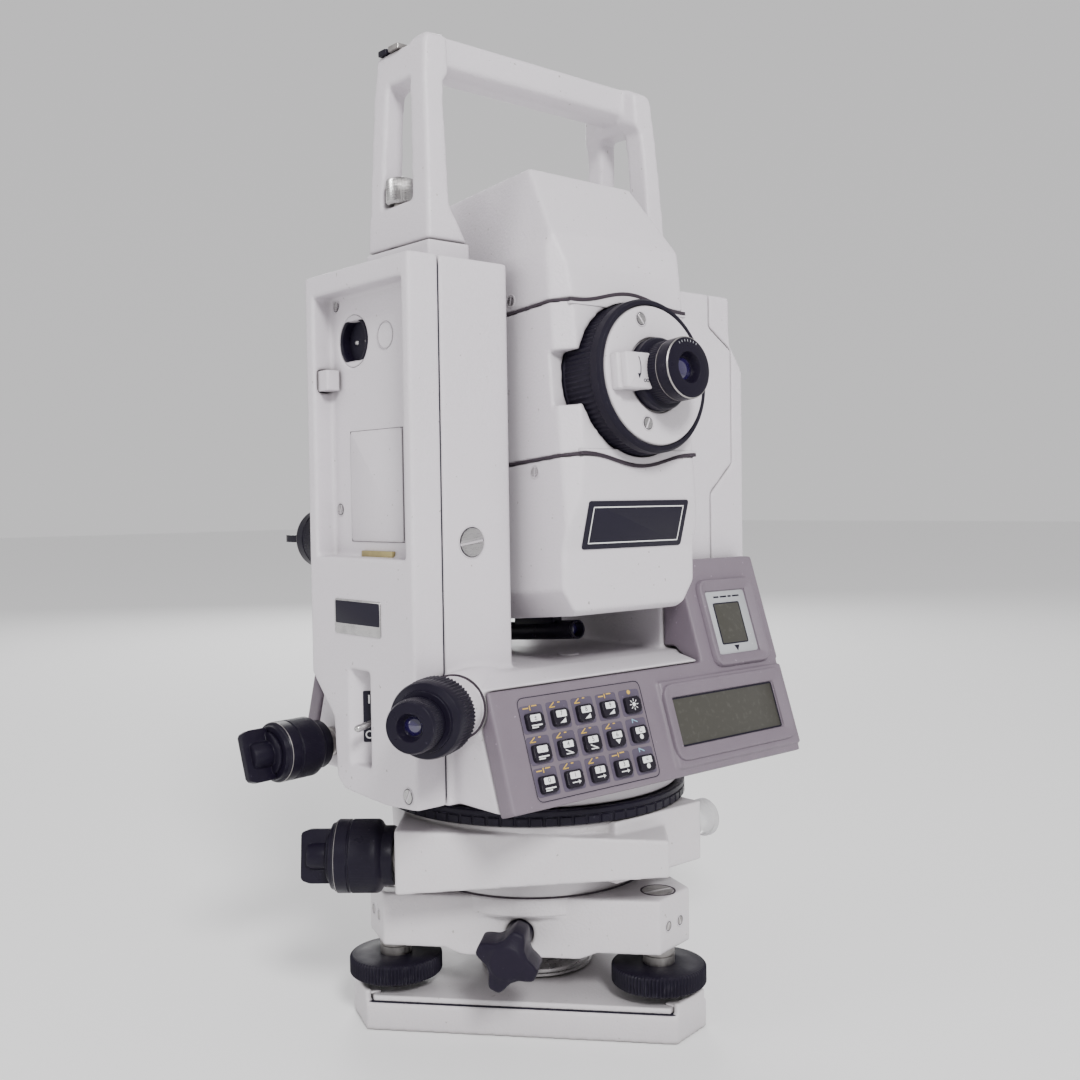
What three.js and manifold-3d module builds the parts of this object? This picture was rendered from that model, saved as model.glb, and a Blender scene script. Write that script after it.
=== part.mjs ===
// Surveying total station: electronic theodolite on a three-screw tribrach.
// Millimetres, +Z up. The origin is on the vertical axis, on the underside of the base plate.
// The keyboard that faces the observer looks along -Y, and the trunnion axis runs along X.
import * as THREE from 'three';
import { mergeVertices } from 'three/addons/utils/BufferGeometryUtils.js';
import Module from 'manifold-3d';

const wasm = await Module();
wasm.setup();

// ---------- driving dimensions ----------
const GAP = 0.3;                       // clearance between touching pieces
const TRIBRACH_YAW = -49.3;            // degrees about Z, tribrach against the alidade
const LOWER_BASE_YAW = -42.5;          // degrees about Z, lower base against the alidade
const TELESCOPE_PITCH = -5;            // degrees about the trunnion, eyepiece end raised

const BASE_INRADIUS = 45.4;            // centre to an edge of the base plate
const BASE_CORNER = 73;                // centre to a cut corner of the base plate
const BASE_HEIGHT = 10.2;
const FOOT_RADIUS = 58.6;              // centre to each foot screw
const SLEEVE_RADIUS = 5.95;            // foot screw inside the tribrach body
const WHEEL_RADIUS = 17.8;
const BODY_INRADIUS = 42;              // tribrach body, centre to a side
const BODY_CORNER = 66;
const BODY_BOTTOM = 31;
const BODY_TOP = 51.3;
const SEAT_RADIUS = 45.5;              // round seat between the tribrach and the lower base

const KNOB_RADIUS = 13.3;              // lower clamp and tangent knob
const LOWER_KNOB_Z = 68.1;
const CIRCLE_RADIUS = 60.2;            // circle setting ring
const CIRCLE_Z = [82, 87.9];
const SPINDLE_RADIUS = 12;

const GAP_HALF = 38.7;                 // half the space between the standards
const FRONT_Y = -34.4;                 // front face of both standards
const BACK_Y = 33;                     // back face of both standards
const STANDARD_TOP = 282.5;
const FOOT_TOP = 291.2;                // blocks under the handle
const CASTING_BOTTOM = 92.6;
const SPLIT_LEFT = -69.4;              // left cover against its casting
const COVER_LEFT = -81.9;              // outer face of the left cover
const SPLIT_RIGHT = 70;
const COVER_RIGHT = 82.3;
const BULGE_RIGHT = 90.7;              // swelling of the right cover
const TRAY_Z = 138;                    // floor between the standards
const TRUNNION_Z = 236;
const AXLE_RADIUS = 9;

const PANEL_TILT = THREE.MathUtils.degToRad(18.28);
const PANEL_Y = -62.3;                 // middle key row, on the panel face
const PANEL_Z = 112.9;
const PANEL_THICK = 7.6;
const PANEL_X = [-67.4, 84.6];
const PANEL_DOWN = [-22.8, 18.5];      // panel's upper and lower edge, measured down its slope
const KEY_PITCH = [11.75, 10.67];
const KEY_CENTRE_X = -27.15;
const KEY_SIZE = [7.5, 5.9];
const KEY_SPAN = [-2.3, 1.7];          // underside and top of a key, off the panel face
const KEY_TRAVEL = 1;

const BAR_BOTTOM = 355.4;
const BAR_TOP = 368.9;
const SCREW_POINT = [57.3, 4.3];       // screws that hold the handle, x on both sides and y
const SCREW_HEAD_Z = [307.8, 317.4];
const SCREW_HEAD_RADIUS = 5.4;

const HALF_WIDTH = 33.8;               // telescope housings
const SEAM = 26.8;                     // seams above and below the telescope's axis
const RING_RADIUS = 27.7;              // focusing ring
const PLATE_RADIUS = 25.1;
const PLATE_Y = -70.1;
const EYEPIECE_Y = -86.2;

const PLUMMET_ANGLE = THREE.MathUtils.degToRad(31.5);   // from -X towards -Y
const PLUMMET_Z = 129;

// ---------- materials ----------
function finish(color, roughness, metalness) {
  return new THREE.MeshStandardMaterial({ color, roughness, metalness });
}
const paint = finish(0xd8d5d2, 0.5, 0.1);
const panelGrey = finish(0x8f8592, 0.55, 0.05);
const black = finish(0x201d27, 0.45, 0.1);
const keyDark = finish(0x35313b, 0.5, 0);
const steel = finish(0xb4b1a8, 0.35, 0.9);
const display = finish(0x6c6e60, 0.25, 0);
const lensPurple = finish(0x3a2f7c, 0.1, 0.2);
const levelGlass = finish(0xb9cf5a, 0.1, 0);
const clearCap = finish(0xe6e4e6, 0.2, 0);

// ---------- shape helpers: every shape is closed, and a cut is made on its solid ----------
function solidOf(geometry) {
  const bare = geometry.clone();
  bare.deleteAttribute('normal');
  bare.deleteAttribute('uv');
  const merged = mergeVertices(bare, 1e-4);
  const position = merged.attributes.position.array;
  const corners = merged.index.array;
  const triangles = [];
  let volume = 0;
  for (let i = 0; i < corners.length; i += 3) {
    const [a, b, c] = [corners[i], corners[i + 1], corners[i + 2]];
    if (a === b || b === c || c === a) continue;
    triangles.push(a, b, c);
    const [p, q, r] = [a, b, c].map((n) => new THREE.Vector3().fromArray(position, 3 * n));
    volume += p.dot(q.cross(r));
  }
  if (volume < 0) triangles.reverse();
  const mesh = new wasm.Mesh({
    numProp: 3,
    vertProperties: Float32Array.from(position),
    triVerts: Uint32Array.from(triangles),
  });
  return new wasm.Manifold(mesh);
}

function geometryOf(solid) {
  const mesh = solid.getMesh();
  const geometry = new THREE.BufferGeometry();
  geometry.setAttribute('position', new THREE.BufferAttribute(new Float32Array(mesh.vertProperties), 3));
  geometry.setIndex(new THREE.BufferAttribute(new Uint32Array(mesh.triVerts), 1));
  geometry.computeVertexNormals();
  return geometry;
}

function join(...geometries) {
  return geometryOf(geometries.map(solidOf).reduce((whole, next) => whole.add(next)));
}

function cut(geometry, ...tools) {
  return geometryOf(tools.map(solidOf).reduce((whole, next) => whole.subtract(next), solidOf(geometry)));
}

function common(first, second) {
  return geometryOf(solidOf(first).intersect(solidOf(second)));
}

function box([x0, x1], [y0, y1], [z0, z1]) {
  const geometry = new THREE.BoxGeometry(x1 - x0, y1 - y0, z1 - z0);
  return geometry.translate((x0 + x1) / 2, (y0 + y1) / 2, (z0 + z1) / 2);
}

function extrude(shape, low, high, curveSegments = 3) {
  const options = { depth: high - low, bevelEnabled: false, curveSegments };
  const geometry = new THREE.ExtrudeGeometry(shape, options);
  return geometry.translate(0, 0, low);
}

function polygon(points) {
  return new THREE.Shape(points.map(([u, v]) => new THREE.Vector2(u, v)));
}

// An outline in the XY, XZ or YZ plane, carried along the third axis.
function alongZ(points, low, high) {
  return extrude(polygon(points), low, high);
}

function alongY(points, low, high) {
  const turned = points.map(([x, z]) => [z, x]);
  const basis = new THREE.Matrix4().set(0, 1, 0, 0, 0, 0, 1, 0, 1, 0, 0, 0, 0, 0, 0, 1);
  return extrude(polygon(turned), low, high).applyMatrix4(basis);
}

function alongX(points, low, high) {
  const basis = new THREE.Matrix4().set(0, 0, 1, 0, 1, 0, 0, 0, 0, 1, 0, 0, 0, 0, 0, 1);
  return extrude(polygon(points), low, high).applyMatrix4(basis);
}

// A round piece about Z from [radius, height] pairs.
function turned(profile, segments = 32) {
  const points = profile.map(([radius, height]) => new THREE.Vector2(radius, height));
  return new THREE.LatheGeometry(points, segments).rotateX(Math.PI / 2);
}

function disc(radius, low, high, segments = 32) {
  return turned([[0, low], [radius, low], [radius, high], [0, high]], segments);
}

// Carries a piece made about +Z so that its axis points along a direction, starting at a point.
function aim(geometry, from, direction) {
  const turn = new THREE.Quaternion();
  turn.setFromUnitVectors(new THREE.Vector3(0, 0, 1), new THREE.Vector3(...direction).normalize());
  return geometry.applyQuaternion(turn).translate(...from);
}

function mirrorX(geometry) {
  return geometryOf(solidOf(geometry.clone().scale(-1, 1, 1)));
}

function mirrorY(geometry) {
  return geometryOf(solidOf(geometry.clone().scale(1, -1, 1)));
}

// A rectangle with cut corners, around a middle point.
function cutRect(width, height, corner) {
  const [w, h] = [width / 2, height / 2];
  return polygon([[corner - w, -h], [w - corner, -h], [w, corner - h], [w, h - corner], [w - corner, h],
    [corner - w, h], [-w, h - corner], [-w, corner - h]]);
}

function piece(parent, name, geometry, material) {
  const mesh = new THREE.Mesh(geometry, material);
  mesh.name = name;
  parent.add(mesh);
  return mesh;
}

const station = new THREE.Group();

// ---------- tribrach ----------
const tribrach = new THREE.Group();
tribrach.rotation.z = THREE.MathUtils.degToRad(TRIBRACH_YAW);
station.add(tribrach);

const CORNER_ANGLES = [60, -60, 180].map((angle) => THREE.MathUtils.degToRad(angle));

// A triangle with cut corners: its sides at the inradius, its cuts at the corner distance.
function cutTriangle(inradius, corner) {
  const half = (2 * inradius - corner) * Math.tan(Math.PI / 6);
  return CORNER_ANGLES.flatMap((angle) => {
    const out = [Math.sin(angle), -Math.cos(angle)];
    const side = [Math.cos(angle), Math.sin(angle)];
    return [-half, half].map((t) => [corner * out[0] + t * side[0], corner * out[1] + t * side[1]]);
  }).sort((a, b) => Math.atan2(a[1], a[0]) - Math.atan2(b[1], b[0]));
}

function footPoint(angle, z = 0) {
  return [FOOT_RADIUS * Math.sin(angle), -FOOT_RADIUS * Math.cos(angle), z];
}

const LEVEL_POINT = [-48, 27.7, 0];      // circular level on an arm of the tribrach body

function buildBasePlate() {
  const lips = CORNER_ANGLES.map((angle) => {
    const lip = box([-9.4, 9.4], [-BASE_CORNER, 2.2 - BASE_CORNER], [8, 14.6]);
    return lip.rotateZ(angle);
  });
  const plate = join(alongZ(cutTriangle(BASE_INRADIUS, BASE_CORNER), 0, BASE_HEIGHT), ...lips);
  return cut(plate, disc(20.6, -1, 20));
}

function buildSpringPlate() {
  const outline = cutTriangle(BASE_INRADIUS - 1.2, BASE_CORNER - 2.8);
  const holes = CORNER_ANGLES.map((angle) => disc(5.6, 0, 20, 14).translate(...footPoint(angle)));
  return cut(alongZ(outline, BASE_HEIGHT + GAP, 12.7), disc(20.6, 0, 20), ...holes);
}

function buildTribrachBody() {
  const belly = alongY([[-34, 33], [-22, 28.4], [22, 28.4], [34, 33]], -BODY_INRADIUS, 20);
  const levelArm = disc(11, 38, 50, 20).translate(...LEVEL_POINT);
  const whole = join(alongZ(cutTriangle(BODY_INRADIUS, BODY_CORNER), BODY_BOTTOM, BODY_TOP), belly, levelArm,
    disc(SEAT_RADIUS, 44, BODY_TOP, 36));
  const hole = SLEEVE_RADIUS + GAP;
  const sockets = CORNER_ANGLES.map((angle) => disc(hole, 20, 47, 18).translate(...footPoint(angle)));
  const clampHole = aim(disc(5.3, 0, 20, 16), [0, -BODY_INRADIUS - 2, 37.5], [0, 1, 0]);
  return cut(whole, disc(12, 20, 60, 24), clampHole, ...sockets);
}

function buildFootScrew() {
  const top = 24.5;
  return turned([[0, 10.7], [4.2, 10.7], [4.2, 14.4], [3.4, 15.2], [3.4, 17.6], [WHEEL_RADIUS, 17.6],
    [WHEEL_RADIUS, 23.2], [WHEEL_RADIUS - 1.6, top], [SLEEVE_RADIUS, top], [SLEEVE_RADIUS, 46.5],
    [0, 46.5]], 28);
}

// A four-lobed star grip with hollow sides and a shaft, about +Z.
function buildStarKnob() {
  const turn = -24 * (Math.PI / 180);
  const outline = [];
  for (let i = 0; i < 32; i += 1) {
    const angle = (i / 32) * 2 * Math.PI;
    const radius = 9.6 + 1.9 * Math.cos(4 * angle);
    outline.push([radius * Math.cos(angle + turn), radius * Math.sin(angle + turn)]);
  }
  return join(alongZ(outline, -3, 11), disc(5, -24, 1, 16));
}

piece(tribrach, 'base_plate', buildBasePlate(), paint);
piece(tribrach, 'spring_plate', buildSpringPlate(), paint);
const centringRing = turned([[7.9, 0.6], [20.2, 0.6], [20.2, 13.2], [22.4, 13.2], [22.4, 16.6], [7.9, 16.6],
  [7.9, 0.6]], 28);
piece(tribrach, 'centring_ring', centringRing, steel);
piece(tribrach, 'tribrach_body', buildTribrachBody(), paint);
CORNER_ANGLES.forEach((angle, index) => {
  const screw = piece(tribrach, `foot_screw_${index + 1}`, buildFootScrew(), black);
  screw.position.set(...footPoint(angle));
});
const starKnob = aim(buildStarKnob(), [0, -61, 37.5], [0, -1, 0]);
piece(tribrach, 'tribrach_clamp_knob', starKnob, black);
const circularLevel = turned([[0, 50.3], [8.6, 50.3], [8.6, 54.4], [7, 55.8], [0, 55.8]], 20);
piece(tribrach, 'circular_level', circularLevel, levelGlass).position.set(...LEVEL_POINT);

// ---------- lower base ----------
const lowerBase = new THREE.Group();
lowerBase.rotation.z = THREE.MathUtils.degToRad(LOWER_BASE_YAW);
station.add(lowerBase);

const KNOB_FACE_X = -49.2;             // end of the housing that carries the lower knob
const KNOB_Y = -45;

function buildLowerBase() {
  const round = turned([[0, 51.6], [SEAT_RADIUS - 1, 51.6], [SEAT_RADIUS, 54], [SEAT_RADIUS + 1, 60],
    [56.5, 66], [57.5, 81.7], [47, 81.7], [47, 88], [0, 88]], 32);
  const housing = alongY([[-48.7, 57.2], [-48.7, 80.8], [49.7, 76.4], [49.7, 63]], -58, -12);
  const block = box([-6, 40], [-30, -8], [59, 81.6]).rotateZ(THREE.MathUtils.degToRad(-LOWER_BASE_YAW));
  block.translate(14.9, -26.6, 0);
  const bore = disc(SPINDLE_RADIUS + GAP, 57, 100, 20);
  const sight = disc(8, 40, 100, 16);
  return cut(join(round, housing, block), bore, sight);
}

// Tangent knob: a steel sleeve, a collar and the ribbed grip, along +Z from the casting's face.
function buildTangentKnob(radius, sleeve) {
  return turned([[0, GAP], [0.5 * radius, GAP], [0.5 * radius, sleeve], [0.82 * radius, sleeve],
    [0.82 * radius, sleeve + 4], [radius - 0.6, sleeve + 5.5], [radius, sleeve + 7], [radius, sleeve + 21],
    [radius - 1.5, sleeve + 23], [0, sleeve + 23]], 24);
}

// Clamp grip: a thumb plate with a hub through its middle, along +Z.
function buildClampWing() {
  const plate = box([-9.8, 9.8], [-1.4, 1.4], [0, 11.5]);
  return join(plate, disc(5, 0, 9, 14));
}

// A knob and its clamp wing on one axis that leaves a face at a point, level with the ground.
function addClampAndTangent(parent, prefix, from, direction, radius, sleeve, wingTurn) {
  const knob = buildTangentKnob(radius, sleeve);
  const wing = buildClampWing().rotateZ(wingTurn).translate(0, 0, sleeve + 23 + GAP);
  piece(parent, `${prefix}_tangent_knob`, aim(knob, from, direction), black);
  piece(parent, `${prefix}_clamp_lever`, aim(wing, from, direction), black);
}

piece(lowerBase, 'lower_base', buildLowerBase(), paint);
const lowerKnobPoint = [KNOB_FACE_X + GAP, KNOB_Y, LOWER_KNOB_Z];
addClampAndTangent(lowerBase, 'lower', lowerKnobPoint, [-1, 0, 0], KNOB_RADIUS, 1.2, 0.15);
const capShape = turned([[0, GAP], [6.2, GAP], [6.2, 8], [7.4, 8.4], [7.4, 11.4], [6, 12], [0, 12]], 20);
const lowerCap = aim(capShape, [38.4, -47.6, 70.4], [1, 0, 0]);
piece(station, 'lower_cap', lowerCap, clearCap);

function buildCircleRing() {
  const [low, high] = CIRCLE_Z;
  const ring = turned([[47.4, low], [CIRCLE_RADIUS, low], [CIRCLE_RADIUS, high], [47.4, high],
    [47.4, low]], 36);
  const notches = Array.from({ length: 12 }, (_, i) => {
    const notch = box([CIRCLE_RADIUS - 0.8, CIRCLE_RADIUS + 1], [-1.6, 1.6], [low - 1, high + 1]);
    return notch.rotateZ((i / 12) * 2 * Math.PI);
  });
  return cut(ring, ...notches);
}

piece(station, 'circle_ring', buildCircleRing(), black);

// ---------- alidade ----------
const spindle = turned([[7.5, 57.4], [SPINDLE_RADIUS, 57.4], [SPINDLE_RADIUS, 124], [7.5, 124],
  [7.5, 57.4]], 20);
piece(station, 'vertical_spindle', spindle, steel);

// A point on the panel: x, distance down the slope from the middle key row, height off its face.
function onPanel(x, down, off = 0) {
  const y = PANEL_Y - down * Math.sin(PANEL_TILT) - off * Math.cos(PANEL_TILT);
  const z = PANEL_Z - down * Math.cos(PANEL_TILT) + off * Math.sin(PANEL_TILT);
  return [x, y, z];
}

// Carries a shape drawn in panel coordinates (x across, y up the slope, z out of the face) into place.
function toPanel(geometry, x = 0, down = 0, off = 0) {
  return geometry.rotateX(Math.PI / 2 - PANEL_TILT).translate(...onPanel(x, down, off));
}

function panelPoint(down, off) {
  return onPanel(0, down, off).slice(1);
}

const PLUMMET_OUT = [-Math.cos(PLUMMET_ANGLE), -Math.sin(PLUMMET_ANGLE), 0];

// A round length on the optical plummet's axis, between two distances from the vertical axis.
function onPlummet(profile, segments = 22) {
  return aim(turned(profile, segments), [0, 0, PLUMMET_Z], PLUMMET_OUT);
}

const CASTING_RIGHT = [[GAP_HALF, CASTING_BOTTOM], [69.7, CASTING_BOTTOM], [69.7, 200.2], [83.3, 212.6],
  [83.3, 260.4], [69.7, 269], [69.7, STANDARD_TOP], [GAP_HALF, STANDARD_TOP]];

const KNOB_TURN = THREE.MathUtils.degToRad(8);
const UPPER_KNOB_OUT = [-Math.cos(KNOB_TURN), -Math.sin(KNOB_TURN), 0];
const UPPER_KNOB_FROM = [-67.8, 42.4, 104.8];
const VERTICAL_KNOB_FROM = [-62.1, BACK_Y, 184.1];
const SOCKET_FROM = [-73.3, 13.4, 257.7];   // battery contacts, on the floor of the battery bay

function buildAlidadeFrame() {
  const inside = SPINDLE_RADIUS + GAP;
  const skirt = turned([[inside, 88.3], [57.5, 88.3], [57.5, 93.5], [inside, 93.5], [inside, 88.3]], 32);
  const [top, bottom] = PANEL_DOWN;
  const backOff = -PANEL_THICK - GAP;
  const front = [panelPoint(bottom - 1, backOff), panelPoint(top - GAP, backOff), [-41, TRAY_Z]];
  const back = front.map(([y, z]) => [-y, z]).reverse();
  const coverRoom = box([SPLIT_RIGHT - GAP, 95], [FRONT_Y - GAP, BACK_Y + GAP], [80, 150]);
  const pedestal = cut(alongX([...front, ...back], -66.8, 83), coverRoom);
  const lip = alongX([panelPoint(top - GAP, backOff + 1), panelPoint(top - GAP, 0), [-41, TRAY_Z],
    [-40, TRAY_Z - 3]], -66.8, GAP_HALF + 0.4);
  const left = box([SPLIT_LEFT + GAP, -GAP_HALF], [FRONT_Y, BACK_Y], [CASTING_BOTTOM, STANDARD_TOP]);
  const right = alongY(CASTING_RIGHT, FRONT_Y, BACK_Y);
  const feet = [-1, 1].map((side) => {
    const block = box([43.8, 62.4], [-19.6, 20.6], [STANDARD_TOP - 2, FOOT_TOP]);
    return side < 0 ? mirrorX(block) : block;
  });
  const plummet = onPlummet([[0, 40], [11.2, 40], [11.2, 86], [10.2, 86], [10.2, 99], [6.5, 99], [6.5, 113.6],
    [0, 113.6]]);
  const whole = join(pedestal, lip, mirrorY(lip), skirt, left, right, ...feet, plummet);
  const bore = disc(SPINDLE_RADIUS + GAP, 80, 124.4, 20);
  const trunnion = aim(disc(AXLE_RADIUS + GAP, -62.6, 62.6, 20), [0, 0, TRUNNION_Z], [1, 0, 0]);
  const socket = aim(disc(9.5, 3, 13.1, 20), SOCKET_FROM, [1, 0, 0]);
  const [screwX, screwY] = SCREW_POINT;
  const screwHoles = [-1, 1].map((side) => disc(3, 279, 295, 12).translate(side * screwX, screwY, 0));
  return cut(whole, bore, trunnion, socket, ...screwHoles);
}

function buildLeftCover() {
  const outline = [[FRONT_Y, 93.2], [-15.2, 91.8], [11.5, 93.2], [16.6, 97], [18.3, 119], [BACK_Y, 134.4],
    [BACK_Y, STANDARD_TOP], [FRONT_Y, STANDARD_TOP]];
  const shell = alongX(outline, COVER_LEFT, SPLIT_LEFT);
  const bay = box([COVER_LEFT - 1, -73.6], [-29.6, 27.4], [178.4, 274.7]);
  const socket = aim(disc(9.5, -5, 13, 20), SOCKET_FROM, [1, 0, 0]);
  const switchWell = alongZ([[COVER_LEFT - 1, 8.4], [COVER_LEFT, 7.2], [-72.5, -1.5], [-72.5, -6.2],
    [COVER_LEFT - 1, -6.2]], 103.5, 138);
  const catchSlot = box([-80.2, -74], [27, 32], [239.6, 248]);
  const plummet = onPlummet([[0, 20], [11.9, 20], [11.9, 130], [0, 130]]);
  return cut(shell, bay, socket, switchWell, catchSlot, plummet);
}

function buildRightCover() {
  const outline = [[SPLIT_RIGHT, CASTING_BOTTOM], [COVER_RIGHT, CASTING_BOTTOM], [COVER_RIGHT, 160],
    [BULGE_RIGHT, 170], [BULGE_RIGHT, 252], [COVER_RIGHT + 0.6, 263], [COVER_RIGHT, STANDARD_TOP],
    [SPLIT_RIGHT, STANDARD_TOP], [SPLIT_RIGHT, 269.2], [83.6, 260.6], [83.6, 212.4], [SPLIT_RIGHT, 200]];
  return alongY(outline, FRONT_Y, BACK_Y);
}

piece(station, 'alidade_frame', buildAlidadeFrame(), paint);
piece(station, 'left_cover', buildLeftCover(), paint);
piece(station, 'right_cover', buildRightCover(), paint);

function buildBatterySocket() {
  const cup = turned([[0, -12.4], [9.2, -12.4], [9.2, 0], [7.4, 0], [7.4, -9.4], [0, -9.4]], 20);
  const pins = [-3.4, 3.4].map((y) => disc(1.2, -10, -3.4, 8).translate(0, y, 0));
  return aim(join(cup, ...pins), SOCKET_FROM, [-1, 0, 0]);
}
piece(station, 'battery_socket', buildBatterySocket(), black);
piece(station, 'battery_catch', box([-79.8, -74.4], [21.4, 29.6], [240, 247.6]), paint);

const SWITCH_PIVOT = [-73.6, -3.9, 120.6];
const leverShape = join(disc(1.3, 0, 11.5, 12), turned([[0, -0.4], [1.8, -0.4], [1.8, 0.8], [0, 0.8]], 12));
piece(station, 'power_switch_lever', aim(leverShape, SWITCH_PIVOT, [-0.978, 0, -0.208]), steel);

const focusRing = onPlummet([[6.8, 99.3], [12.4, 99.3], [12.4, 112.6], [11, 114], [6.8, 114], [6.8, 99.3]]);
piece(station, 'plummet_focus_ring', focusRing, black);
const plummetEyepiece = onPlummet([[0, 114.4], [7.7, 114.4], [7.7, 123.7], [3.6, 123.7], [2.8, 121],
  [0, 121]]);
piece(station, 'plummet_eyepiece', plummetEyepiece, black);

// Display housing: a slab with the keys, and a wedge above it on the right standard.
function buildBezelBody() {
  const [top, bottom] = PANEL_DOWN;
  const slab = toPanel(box(PANEL_X, [-bottom, -top], [-PANEL_THICK, 0]));
  const wedge = alongX([panelPoint(-63.6, 0), panelPoint(top + 3, 0), panelPoint(top + 3, -4),
    [-40.6, TRAY_Z + 1.2], [FRONT_Y - GAP, TRAY_Z + 1.2], [FRONT_Y - GAP, 170],
    [FRONT_Y - 3, 173.3]], 39.5, 85.9);
  const frame = toPanel(box([11.8, 84.3], [-15.7, 17.2], [-1, 1.6]));
  const lcd = toPanel(box([16.9, 76.9], [-8.1, 10.8], [-0.4, 3]));
  const window = toPanel(box([51, 75.5], [24, 50.2], [-0.7, 2]));
  const glass = toPanel(box([54.7, 70.4], [28.1, 45], [-2.2, 2]));
  const plummet = onPlummet([[0, 40], [11.6, 40], [11.6, 86.4], [0, 86.4]]);
  return cut(join(slab, wedge, frame), lcd, window, glass, plummet);
}

function forEachKey(action) {
  for (let row = -1; row <= 1; row += 1) {
    for (let column = -2; column <= 2; column += 1) {
      action(KEY_CENTRE_X + column * KEY_PITCH[0], row * KEY_PITCH[1], row, column);
    }
  }
}

function buildKey() {
  const [width, height] = KEY_SIZE;
  const edge = 0.4;
  const [low, high] = KEY_SPAN;
  const key = new THREE.ExtrudeGeometry(cutRect(width - 2 * edge, height - 2 * edge, 0.9),
    { depth: high - low - 2 * edge, bevelThickness: edge, bevelSize: edge, bevelSegments: 1 });
  return geometryOf(solidOf(key.translate(0, 0, low + edge)));
}

const bezelBody = buildBezelBody();
const keyHoles = [];
forEachKey((x, down) => {
  const [width, height] = KEY_SIZE.map((size) => size + 0.8);
  keyHoles.push(toPanel(extrude(cutRect(width, height, 1.2), KEY_SPAN[0] - KEY_TRAVEL - 0.5, 1), x, down));
});
piece(station, 'front_bezel', cut(bezelBody, ...keyHoles), panelGrey);
piece(station, 'front_main_lcd', toPanel(box([17.3, 76.5], [-7.7, 10.4], [-0.1, 1.1])), display);
piece(station, 'front_small_lcd', toPanel(box([55, 70.1], [28.4, 44.7], [-1.9, -0.9])), display);

let keyNumber = 0;
forEachKey((x, down) => {
  keyNumber += 1;
  const name = `key_${String(keyNumber).padStart(2, '0')}`;
  piece(station, name, toPanel(buildKey(), x, down), keyDark);
});

// The other face carries the same housing, mirrored, with its keys moulded as one mat.
const matPocket = toPanel(box([KEY_CENTRE_X - 29.2, KEY_CENTRE_X + 29.2], [-16, 19.4], [-1.6, 2]));
piece(station, 'rear_bezel', mirrorY(cut(bezelBody, matPocket)), panelGrey);
const matParts = [toPanel(box([KEY_CENTRE_X - 28.8, KEY_CENTRE_X + 28.8], [-15.6, 19], [-1.3, -0.1]))];
forEachKey((x, down) => {
  matParts.push(toPanel(extrude(cutRect(...KEY_SIZE, 1.2), -0.6, 1.4), x, down));
});
piece(station, 'rear_key_mat', mirrorY(join(...matParts)), keyDark);

addClampAndTangent(station, 'upper', UPPER_KNOB_FROM, UPPER_KNOB_OUT, 11.4, 7, 0.2);
addClampAndTangent(station, 'vertical', VERTICAL_KNOB_FROM, [0, 1, 0], 11.9, 3, 0);

const levelTube = join(box([-22, 22], [42.6, 51.6], [TRAY_Z + GAP, 142.6]),
  aim(disc(4.2, -20, 20, 16), [0, 47.1, 143.2], [1, 0, 0]));
piece(station, 'plate_level', levelTube, levelGlass);

// ---------- carrying handle ----------
function buildHandle() {
  const base = FOOT_TOP + GAP;
  const outer = [[61.9, base], [61.2, 305], [59.4, 350], [58, 364.8], [55.8, BAR_TOP - 1.4], [47, BAR_TOP]];
  const inner = [[46.5, BAR_BOTTOM], [50.5, 350], [51.4, 340], [51.6, 305], [44.2, base]];
  const outline = [...outer, ...outer.map(([x, z]) => [-x, z]).reverse(),
    ...inner.map(([x, z]) => [-x, z]).reverse(), ...inner];
  const side = alongX([[-19.2, base], [-16.6, 330], [-14.6, 352], [-13.6, 366], [-9, BAR_TOP], [12, BAR_TOP],
    [17.4, 365.6], [18.6, 340], [20.3, base]], -70, 70);
  const grip = [[-46.5, 8.2], [46.5, 8.2], [51.4, 25], [-51.4, 25]];
  const belly = [[3.4, BAR_BOTTOM - 0.1], [8.4, BAR_BOTTOM + 3.2], [8.4, BAR_BOTTOM - 0.1]];
  const waists = [1, -1].flatMap((sign) => [
    alongZ(grip.map(([x, y]) => [x, sign * y]), 340, 380),
    alongX(belly.map(([y, z]) => [sign * y, z]), -46.5, 46.5),
  ]);
  const sill = SCREW_HEAD_Z[0] - 0.4;
  const window = alongX([[-7.8, sill], [11.1, sill], [8.9, 352.2], [-4.9, 351.8]], 40, 75);
  const step = box([50.8, 75], [-3.4, 30], [364.9, 380]);
  const screwHole = disc(3, 285, 312, 12).translate(...SCREW_POINT, 0);
  const tools = [window, step, screwHole].flatMap((tool) => [tool, mirrorX(tool)]);
  return cut(common(alongY(outline, -25, 25), side), ...waists, ...tools);
}
piece(station, 'handle', buildHandle(), paint);
[['handle_screw_left', -1], ['handle_screw_right', 1]].forEach(([name, side]) => {
  const [low, high] = SCREW_HEAD_Z;
  const head = SCREW_HEAD_RADIUS;
  const screw = turned([[0, 281], [2.6, 281], [2.6, low], [head, low], [head, high - 0.8], [head - 0.8, high],
    [0, high]], 18);
  piece(station, name, screw, steel).position.set(side * SCREW_POINT[0], SCREW_POINT[1], 0);
});

// ---------- telescope ----------
const telescope = new THREE.Group();
telescope.position.z = TRUNNION_Z;
telescope.rotation.x = THREE.MathUtils.degToRad(TELESCOPE_PITCH);
station.add(telescope);

const axle = aim(disc(AXLE_RADIUS, -62, 62, 20), [0, 0, 0], [1, 0, 0]);
piece(telescope, 'trunnion_axle', axle, steel);

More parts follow.
